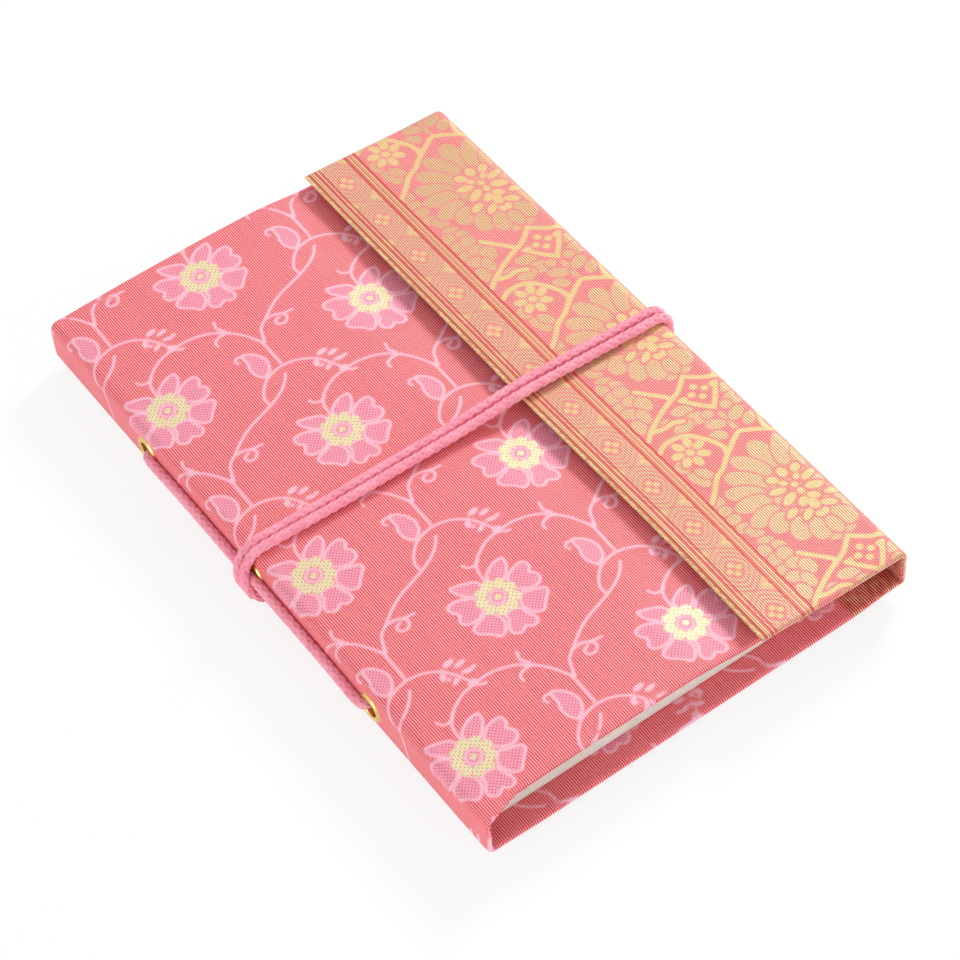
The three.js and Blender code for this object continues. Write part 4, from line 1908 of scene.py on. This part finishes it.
@dataclass
class Cover:
    """The brocade wrap: spine, front, back, fore-edge and flap, with the linings inside.

    `seam` is half the height of the spine's flat strip, `repeats` how many of the vine's repeats go
    round the wrap, and `reach` how far from its edge a fold's bend ends. The last six fields are
    the heights of the soft forms.
    """

    book: Book
    weave: Weave
    finishes: Finishes
    seam: float = 3.3
    repeats: int = 6
    reach: float = 4.2
    path_step: float = 0.5
    cloth_hole: float = 3.0
    hole_sides: int = 40
    hole_depth: float = 6.0
    pucker: float = 0.11
    curl: tuple = (0.45, 1.2)
    tie_dip: float = 0.25
    free_dip: float = 0.5
    corner_rise: float = 0.35
    bow: float = 0.9

    def __post_init__(self) -> None:
        """Lays out the paths of the panels and the length of the wrap, and makes the brocade."""
        s, step = self.book.s, self.path_step
        r, w, top, past = s.crease, s.width, s.spine, 0.01
        xs = np.arange(r, s.front_end + past, step)
        panel = zip(xs[1:], self.book.front(xs[1:]))
        self.front_path = Path([(0, top / 2), *corner(r, top - r, r, 180, 90), *panel], 1.0)
        floor = [(x, 0) for x in np.arange(r + step, w / 2 + past, step)]
        self.back_path = Path([(0, top / 2), *corner(r, r, r, 180, 270), *floor], -1.0)
        floor = [(x, 0) for x in np.arange(w - r - step, w / 2 - past, -step)]
        self.fore_path = Path([(w, top / 2), *corner(w - r, r, r, 0, -90), *floor], 1.0)
        xf = np.arange(w - r, s.flap_start - past, -step)
        panel = zip(xf[1:], self.book.flap(xf[1:]))
        self.flap_path = Path([(w, top / 2), *corner(w - r, top - r, r, 0, 90), *panel], -1.0)
        strip = np.linspace(top / 2 - self.seam, top / 2 + self.seam, 9)
        self.strip_path = Path([(0, z) for z in strip], 1.0)
        self.turn = self.repeats * self.weave.vine.across
        free_edge = self.turn - 2 * self.back_path.length - self.flap_path.length
        self.brocade = BrocadeFinish(free_edge=free_edge).build()
        self.panels = (
            Panel("front", "front_cover", self.front_path, self._front_relief),
            Panel("back", "back_cover", self.back_path, self._back_relief),
            Panel("back_fore", "back_cover", self.fore_path, self._back_relief),
            Panel("flap", "flap", self.flap_path, self.flap_relief),
        )

    def build(self) -> None:
        """Makes the wrap and its linings."""
        self._spine_strip()
        self._front()
        self._back()
        self._flap()
        self._cards()
        self._linings()

    def _front_relief(self, x: np.ndarray, y: np.ndarray, t: np.ndarray) -> tuple:
        """The front cover's soft hollows, and the small puckers along its fold.

        Args:
            x: Places across.
            y: Places along.
            t: Distances along the path.

        Returns:
            The shifts in X and Z.
        """
        pucker = np.sin(y / 2.9 + 1.3 * np.sin(y / 11.0)) * np.sin(y / 5.3 + 0.7)
        pucker = pucker * np.sin(x / 2.2 + y / 17.0)
        near = smooth(5.5, 8.0, t) * smooth(19, 10, t)
        return 0 * x, self.book.sag(x, y) + self.pucker * near * pucker

    def _back_relief(self, x: np.ndarray, y: np.ndarray, t: np.ndarray) -> tuple:
        """Corners of the back that rise a little off the table.

        Args:
            x: Places across.
            y: Places along.
            t: Distances along the path.

        Returns:
            The shifts in X and Z.
        """
        s, (spine, fore) = self.book.s, self.curl
        ends = smooth(s.half - 22, s.half, np.abs(y))
        sides = smooth(16, 3, x) * spine + smooth(s.width - 16, s.width - 3, x) * fore
        return 0 * x, ends * sides * smooth(3.6, 8, t)

    def flap_relief(self, x: np.ndarray, y: np.ndarray, t: np.ndarray) -> tuple:
        """The flap's free edge: down under the tie and beyond it, up again at the corners.

        Args:
            x: Places across.
            y: Places along.
            t: Distances along the path; not used.

        Returns:
            The shifts in X and Z.
        """
        s = self.book.s
        free = smooth(s.flap_start + 30, s.flap_start, x)
        dips = -self.free_dip * np.exp(-(((y + 48) / 26.0) ** 2))
        dips = dips - self.tie_dip * np.exp(-((y / 9.0) ** 2))
        corners = self.corner_rise * smooth(s.half - 18, s.half, np.abs(y))
        shift = self.bow * np.exp(-(((y + 52) / 30.0) ** 2))
        return free * shift, free * (dips + corners)

    def _spans(self, layer: Layer) -> tuple:
        """Where a layer lies on each panel.

        Args:
            layer: The layer.

        Returns:
            A list for the two narrow strips and a list for the wide panels, each of panels with
            the start and the end along their paths.
        """
        s = self.book.s
        rise = np.linspace(layer.fore, s.spine - layer.fore, 9)
        fore = Path([(s.width, z) for z in rise], -1.0)
        spine = Panel("spine", "spine", self.strip_path)
        strips = [
            (spine, layer.strip, 2 * self.seam - layer.strip),
            (Panel("fore_edge", "fore_edge", fore), 0.0, fore.length),
        ]
        wide = [(p, layer.fold, p.path.length - layer.short.get(p.name, 0.0)) for p in self.panels]
        return strips, wide

    def _lay(self, layer: Layer, panel: Panel, start: float, end: float) -> Object:
        """Lays a layer on one panel.

        Args:
            layer: The layer.
            panel: The panel.
            start: Where the piece starts along the panel's path.
            end: Where it ends.

        Returns:
            The piece.
        """
        s = self.book.s
        tail, head = (s.tail_recess, s.head_recess) if panel.name == "front" else (0.0, 0.0)
        low, high = self._inset(layer.recess + tail, layer.recess + head)
        shell = Shell(
            f"{layer.kind}_{panel.name}", panel.path, layer.thickness, low, high, fine=layer.step,
            start=start, end=end, depth=layer.depth, start_round=True, along_step=3.0,
            relief=panel.relief,
        )
        obj = shell.build(self.book)
        if panel.name == "spine":
            self._pierce(obj, layer.hole)
        node = layer.nodes[panel.name.removesuffix("_fore")]
        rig.ride(dressed(obj, layer.material, layer.kind, node), panel.body)
        return obj

    def _cards(self) -> None:
        """The boards inside the wrap, one for each panel."""
        names = ("front", "back", "flap", "spine", "fore_edge")
        layer = Layer(
            "card", self.finishes.card, {name: f"{name}_card" for name in names}, thickness=0.9,
            depth=0.3, recess=0.7, fold=10.2, step=1.5, strip=0.1, fore=2.9, hole=3.02,
            short={"front": 0.6, "flap": 0.6},
        )
        strips, wide = self._spans(layer)
        for panel, start, end in (*wide, *strips):
            self._lay(layer, panel, start, end)

    def _edge(self, tail: Callable, head: Callable) -> tuple:
        """The tail and head ends as functions of the distance along a path."""
        return (lambda s: -self.book.s.half + tail(s)), (lambda s: self.book.s.half - head(s))

    def _inset(self, tail: float, head: float) -> tuple:
        """Straight tail and head ends, at these distances from the cover's."""
        return self._edge(lambda t: tail + 0 * t, lambda t: head + 0 * t)

    def _cloth(self, shell: Shell, *nodes: str) -> Object:
        """Builds one shell of the wrap in brocade.

        Args:
            shell: The shell.
            nodes: The nodes that it stands for.

        Returns:
            The piece.
        """
        slot = "border" if shell.name.startswith("cover_flap") else "brocade"
        return dressed(shell.build(self.book, self.weave), self.brocade, slot, *nodes)

    def _front(self) -> None:
        """Front cover with the upper fold of the spine."""
        s, point = self.book.s, self.book.point
        low, high = self._edge(
            lambda t: s.tail_recess * smooth(4.5, 17, t), lambda t: s.head_recess * smooth(5, 14, t)
        )
        shell = Shell(
            "cover_front", self.front_path, s.cover, low, high, fine=0.53, coarse=True,
            start=self.seam, relief=self._front_relief, across=lambda t: t,
        )
        obj = self._cloth(shell, "front_fabric")
        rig.blend(obj, "spine", "front_cover", point(0, 0, 9.9), point(self.reach, 0, 13.2))
        flat, cloth = (self.front_path.length * MM, s.height * MM), [self.strip]
        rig.sheet(obj, flat=flat, held="stretched", rests_on=["card_front"], with_pieces=cloth)

    def _spine_strip(self) -> None:
        """The flat strip of the spine between its folds, pierced for the eyelets."""
        low, high = self._inset(0.0, 0.0)
        shell = Shell(
            "cover_spine", self.strip_path, self.book.s.cover, low, high, fine=0.55,
            end_round=False, across=lambda t: t - self.seam,
        )
        self.strip = shell.build(self.book, self.weave)
        self._pierce(self.strip, self.cloth_hole)
        dressed(self.strip, self.brocade, "brocade", "spine_fabric")
        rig.ride(self.strip, "spine")

    def _pierce(self, obj: Object, radius: float) -> None:
        """Cuts the three round holes for the eyelets.

        Args:
            obj: The piece to cut.
            radius: The holes' radius.
        """
        s = self.book.s
        bm = bmesh.new()
        for place in (-1, 0, 1):
            centre = self.book.point(0.75, place * s.eyelet_spacing, s.eyelet_z)
            where = Matrix.Translation(centre) @ Matrix.Rotation(math.pi / 2, 4, "Y")
            bmesh.ops.create_cone(
                bm, cap_ends=True, segments=self.hole_sides, radius1=radius * MM,
                radius2=radius * MM, depth=self.hole_depth * MM, matrix=where,
            )
        cutter = finished(bm, "holes")
        cut = obj.modifiers.new("holes", "BOOLEAN")
        cut.operation, cut.solver, cut.object = "DIFFERENCE", "EXACT", cutter
        pierced = evaluated(obj)
        obj.modifiers.clear()
        obj.data = pierced
        bpy.data.meshes.remove(cutter.data)

    def _back(self) -> None:
        """Back cover in two halves: one with the spine's lower fold, one with the fore-edge's."""
        s, point = self.book.s, self.book.point
        low, high = self._inset(0.0, 0.0)
        half, flap = self.back_path.length, self.flap_path.length
        size = (half * MM, s.height * MM)
        spine_half = Shell(
            "cover_back_spine", self.back_path, s.cover, low, high, fine=0.64, start=self.seam,
            end_round=False, relief=self._back_relief, across=lambda t: self.turn - t,
            from_edge=lambda t: flap + 2 * half - t,
        )
        obj = self._cloth(spine_half, "back_fabric")
        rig.blend(obj, "back_cover", "spine", point(self.reach, 0, -0.2), point(0, 0, 3.1))
        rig.sheet(obj, flat=size, held="stretched", rests_on=["card_back"])
        fore_half = Shell(
            "cover_back_fore", self.fore_path, s.cover, low, high, fine=0.64, start_round=False,
            end_round=False, relief=self._back_relief, across=lambda t: self.turn - 2 * half + t,
            from_edge=lambda t: flap + t,
        )
        obj = self._cloth(fore_half, "fore_edge_fabric")
        start = point(s.width - self.reach, 0, -0.2)
        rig.blend(obj, "back_cover", "fore_edge", start, point(s.width, 0, 4.5))
        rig.sheet(obj, flat=size, held="stretched", rests_on=["card_back_fore"])

    def _flap(self) -> None:
        """The flap with the upper fold of the fore-edge, in the border cloth."""
        s, point, length = self.book.s, self.book.point, self.flap_path.length
        low, high = self._inset(0.0, 0.0)
        shell = Shell(
            "cover_flap", self.flap_path, s.cover, low, high, fine=0.46, relief=self.flap_relief,
            across=lambda t: self.turn - 2 * self.back_path.length - t,
            from_edge=lambda t: length - t,
        )
        obj = self._cloth(shell, "flap_fabric")
        end = point(s.width - self.reach, 0, 13.2)
        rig.blend(obj, "fore_edge", "flap", point(s.width, 0, 8.5), end)
        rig.sheet(obj, flat=(length * MM, s.height * MM), held="stretched", rests_on=["card_flap"])

    def _linings(self) -> None:
        """Lining cloth inside each panel, over the turned-in edges."""
        s = self.book.s
        inset = s.turn_in - 1
        nodes = {name: f"{name}_lining" for name in ("flap", "spine", "fore_edge")}
        nodes.update({name: f"{name}_endpaper" for name in ("front", "back")})
        layer = Layer(
            "lining", self.finishes.lining, nodes, thickness=0.3, depth=s.cover - 0.2,
            recess=inset, fold=10.5, step=2.0, strip=0.05, fore=2.7, hole=3.05,
            short={"front": inset, "flap": 0.8},
        )
        strips, wide = self._spans(layer)
        spine, fore = (self._lay(layer, panel, start, end) for panel, start, end in strips)
        joined = {"front": [spine], "flap": [fore]}
        for panel, start, end in wide:
            obj = self._lay(layer, panel, start, end)
            flat = ((end - start) * MM, (s.height - 2 * inset) * MM)
            pieces, card = joined.get(panel.name, []), f"card_{panel.name}"
            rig.sheet(obj, flat=flat, held="stretched", rests_on=[card], with_pieces=pieces)


# ---------------------------------------------------------------- pages, eyelets, selvedge


@dataclass
class PageBlock:
    """Six folded sections, each a stack of loose sheets."""

    book: Book
    finishes: Finishes
    sections: int = 6
    sheets: int = 7
    seed: int = 7
    unevenness: float = 0.22
    gap: float = 0.012
    gap_between_sections: float = 0.04
    bodies: tuple = ("pages_1", "pages_2", "pages_3", "back_cover", "back_cover", "back_cover")

    def build(self) -> None:
        """Makes the sections, the first one uppermost."""
        chance = np.random.default_rng(self.seed)
        for k in range(1, self.sections + 1):
            self._section(k, chance)

    def _section(self, k: int, chance: np.random.Generator) -> None:
        """One section as a stack of sheets with uneven edges.

        Args:
            k: The section's number, from the top.
            chance: Gives the unevenness.
        """
        parts = bmesh.new()
        for i in range(self.sheets):
            top = (self.sections - k + (i + 1) / self.sheets) / self.sections
            bottom = (self.sections - k + i / self.sheets) / self.sections
            gap = self.gap_between_sections if i in (0, self.sheets - 1) else self.gap
            uneven = chance.uniform(-self.unevenness, self.unevenness, 3)
            sheet = self._sheet(top, bottom, gap, uneven).build(self.book)
            parts.from_mesh(sheet.data)
            bpy.data.meshes.remove(sheet.data)
        obj = finished(parts, f"pages_section_{k}", 50)
        dressed(obj, self.finishes.paper, "pages", f"section_{k}")
        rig.ride(obj, self.bodies[k - 1])

    def _sheet(self, top: float, bottom: float, gap: float, uneven: np.ndarray) -> Shell:
        """One sheet of a section.

        Args:
            top: Its upper face, as a share of the block's height.
            bottom: Its lower face, as such a share.
            gap: The air above and below it.
            uneven: How far its fore-edge, tail and head stand out.

        Returns:
            The sheet, not yet built.
        """
        s = self.book.s
        shift = (s.tail_recess - s.head_recess) / 2
        half = s.half - s.page_recess

        def relief(x: np.ndarray, y: np.ndarray, _: np.ndarray) -> tuple:
            """The sheets give way with the cover, the upper ones most."""
            return 0 * x, np.minimum(self.book.sag(x, y) * 1.05, 0.0) * ((top + bottom) / 2)

        xs = np.linspace(s.page_start + 0.1, s.width - s.page_short + uneven[0], 60)
        block = self.book.block(xs) - s.page_bottom
        path = Path(np.stack([xs, s.page_bottom + top * block - gap], 1), 1.0)
        return Shell(
            "sheet", path, float(np.min((top - bottom) * block)) - 2 * gap,
            lambda t: shift - half + uneven[1] + 0 * t, lambda t: shift + half + uneven[2] + 0 * t,
            fine=3.2, start_round=True, along_step=5.0, relief=relief,
        )


@dataclass
class Eyelets:
    """Three brass eyelets on the spine."""

    book: Book
    finishes: Finishes
    bore: float = 2.5
    flange: float = 3.95
    proud: float = 0.6
    back: float = 1.8
    steps: int = 56

    def _outline(self) -> list:
        """Radius and X round one eyelet's wall, from the bore's inner end outwards.

        Returns:
            Pairs of a radius and a place in X.
        """
        b, f, back, wall = self.bore, self.flange, self.back, self.bore + 0.2
        crown = [
            (b + (f - b) * t, -self.proud * (math.sin(math.pi * (0.12 + 0.88 * t)) ** 0.7))
            for t in np.linspace(0.04, 0.96, 11)
        ]
        rolled = [(b + 0.7, back), (b + 0.62, back + 0.2), (b + 0.35, back + 0.28)]
        return [
            (b, back + 0.25), (b, 1.0), (b, -0.1), *crown, (f, -0.02), (f - 0.05, 0.0),
            (wall, 0.0), (wall, back), *rolled,
        ]

    def build(self) -> None:
        """Spins each eyelet about its own axis."""
        s = self.book.s
        for name, place in (("head", 1), ("middle", 0), ("tail", -1)):
            y = place * s.eyelet_spacing
            bm = bmesh.new()
            ring = [bm.verts.new(self.book.point(x, y, s.eyelet_z + r)) for r, x in self._outline()]
            edges = [bm.edges.new(pair) for pair in zip(ring, [*ring[1:], ring[0]])]
            bmesh.ops.spin(
                bm, geom=[*ring, *edges], cent=self.book.point(0, y, s.eyelet_z), axis=(1, 0, 0),
                angle=2 * math.pi, steps=self.steps, use_merge=True,
            )
            bmesh.ops.remove_doubles(bm, verts=bm.verts, dist=1e-7)
            bmesh.ops.recalc_face_normals(bm, faces=bm.faces)
            obj = finished(bm, f"eyelet_brass_{name}", 40)
            dressed(obj, self.finishes.brass, "brass", f"eyelet_{name}")
            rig.ride(obj, "spine")
            washer = frame["nodes"][f"washer_{name}"]
            washer.data.materials.clear()
            washer.data.materials.append(self.finishes.brass)


@dataclass
class Selvedge:
    """The twisted gold threads along the flap's free edge."""

    cover: Cover
    finishes: Finishes
    half: float = 0.29
    pitch: float = 1.7
    wind: float = 0.21
    step: float = 0.22

    def build(self) -> None:
        """Winds two threads round each other along the edge."""
        book, s = self.cover.book, self.cover.book.s
        y = np.arange(-s.half + 0.6, s.half - 0.5, self.step)
        edge = np.full_like(y, s.flap_start)
        dx, dz = self.cover.flap_relief(edge, y, edge)
        x, z = edge + 0.1 + dx, float(book.flap(s.flap_start)) - 0.28 + dz
        lines = []
        for k in (0, 1):
            turn = 2 * math.pi * y / self.pitch + math.pi * k
            place = [x + self.wind * np.cos(turn), y, z + self.wind * np.sin(turn)]
            lines.append((np.stack(place, 1), self.half))
        obj = dressed(tube("flap_selvedge", book, lines, 0), self.finishes.gold_yarn, "border")
        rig.ride(obj, "flap")


# ---------------------------------------------------------------- camera, light and floor


@dataclass
class Studio:
    """A white floor, a pale sky and soft lamps, and the camera at the photograph's place.

    The lamps and the floor are placed in metres. A lamp is a name, a place, a size, a power and a
    tint; `sky` and `white` are colours with their strengths.
    """

    book: Book
    azimuth: float = -32.16
    elevation: float = 51.52
    roll: float = -4.87
    target: tuple = (59.0, 0.0, 8.0)
    shift_right: float = 3.79
    shift_up: float = -8.09
    distance: float = 735.38
    focal_pixels: float = 3094.19
    lights: tuple = (
        ("key", (0.84, 0.38, 0.64), 0.30, 9.4, (1.0, 0.99, 0.97)),
        ("fill", (-0.95, -0.15, 0.24), 0.6, 3.6, (1.0, 1.0, 1.0)),
        ("front", (0.30, -0.95, 0.26), 0.6, 2.6, (1.0, 1.0, 1.0)),
    )
    sky: tuple = ((0.98, 0.985, 1.0, 1.0), 0.58)
    white: tuple = ((1.0, 1.0, 1.0, 1.0), 1.0)
    floor_shades: tuple = (colour(246, 246, 247), colour(250, 250, 250))
    floor_glow: float = 0.84
    floor_radius: float = 3.0

    def camera(self) -> None:
        """Places the camera."""
        a, e, r = (math.radians(t) for t in (self.azimuth, self.elevation, self.roll))
        forward = Vector((-math.sin(a) * math.cos(e), math.cos(a) * math.cos(e), -math.sin(e)))
        right = forward.cross(Vector((0, 0, 1))).normalized()
        up = right.cross(forward)
        eye = Vector(self.target) + right * self.shift_right + up * self.shift_up
        eye = eye - forward * self.distance
        turned = right * math.cos(r) + up * math.sin(r)
        above = up * math.cos(r) - right * math.sin(r)
        data = bpy.data.cameras.new("camera")
        data.sensor_width = SENSOR
        data.lens = self.focal_pixels * SENSOR / PICTURE
        data.clip_start, data.clip_end = 0.01, 20.0
        obj = bpy.data.objects.new("camera", data)
        bpy.context.scene.collection.objects.link(obj)
        basis = Matrix((turned, above, -forward)).transposed().to_4x4()
        obj.matrix_world = Matrix.Translation(self.book.point(*eye)) @ basis
        bpy.context.scene.camera = obj

    def lamps(self) -> None:
        """Adds the soft lamps, aimed at the book."""
        for name, place, size, power, tint in self.lights:
            data = bpy.data.lights.new(name, "AREA")
            data.shape, data.size, data.energy, data.color = "DISK", size, power, tint
            obj = bpy.data.objects.new(name, data)
            obj.location = place
            obj.rotation_mode = "QUATERNION"
            obj.rotation_quaternion = Vector(place).to_track_quat("Z", "Y")
            bpy.context.scene.collection.objects.link(obj)

    def surroundings(self) -> None:
        """The world and the floor, both white to the camera and in reflections."""
        s = Shader(bpy.data.worlds.new("studio"))
        shown = s.shown()
        sky, white = (
            s.node("ShaderNodeBackground", sockets=dict(enumerate(light))).outputs[0]
            for light in (self.sky, self.white)
        )
        both = s.node("ShaderNodeMixShader", sockets={0: shown, 1: sky, 2: white})
        s.node("ShaderNodeOutputWorld", sockets={0: both.outputs[0]})
        bpy.context.scene.world = s.owner
        self._floor()

    def _floor(self) -> None:
        """A wide pale floor that keeps a soft shadow."""
        s = Shader(bpy.data.materials.new("studio_floor"))
        shown = s.shown()
        where = s.object_place()
        tone = s.mix(s.noise(where, 3.0, 2.0), *self.floor_shades)
        matt = s.node("ShaderNodeBsdfDiffuse", sockets={0: tone}).outputs[0]
        glow = s.node("ShaderNodeEmission", sockets=dict(enumerate(self.white))).outputs[0]
        sockets = {0: shown * self.floor_glow, 1: matt, 2: glow}
        both = s.node("ShaderNodeMixShader", sockets=sockets)
        s.node("ShaderNodeOutputMaterial", sockets={0: both.outputs[0]})
        bm = bmesh.new()
        bmesh.ops.create_circle(bm, cap_ends=True, segments=96, radius=self.floor_radius)
        obj = finished(bm, "floor")
        obj.data.materials.append(s.owner)
        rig.stage(obj)

    def build(self) -> None:
        """Sets up the camera, the light and the floor."""
        self.camera()
        self.lamps()
        self.surroundings()
        bpy.context.scene.view_settings.view_transform = "Standard"


def main() -> None:
    """Builds the whole scene in order."""
    logging.basicConfig(level=logging.INFO, format="%(message)s")
    solids = [list(corner_at) for corner_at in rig.bounds()]
    book = Book(Sizes())
    Studio(book).build()
    finishes = Finishes()
    CordTie(book).build(finishes)
    cover = Cover(book, Weave(), finishes)
    cover.build()
    Selvedge(cover, finishes).build()
    PageBlock(book, finishes).build()
    Eyelets(book, finishes).build()
    shown = [list(corner_at) for corner_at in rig.bounds()]
    with open("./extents.json", "w") as out:
        json.dump({"cad": solids, "visual": shown}, out)
    log.info("solids %s, shown %s", solids, shown)


if __name__ == "__main__":
    main()
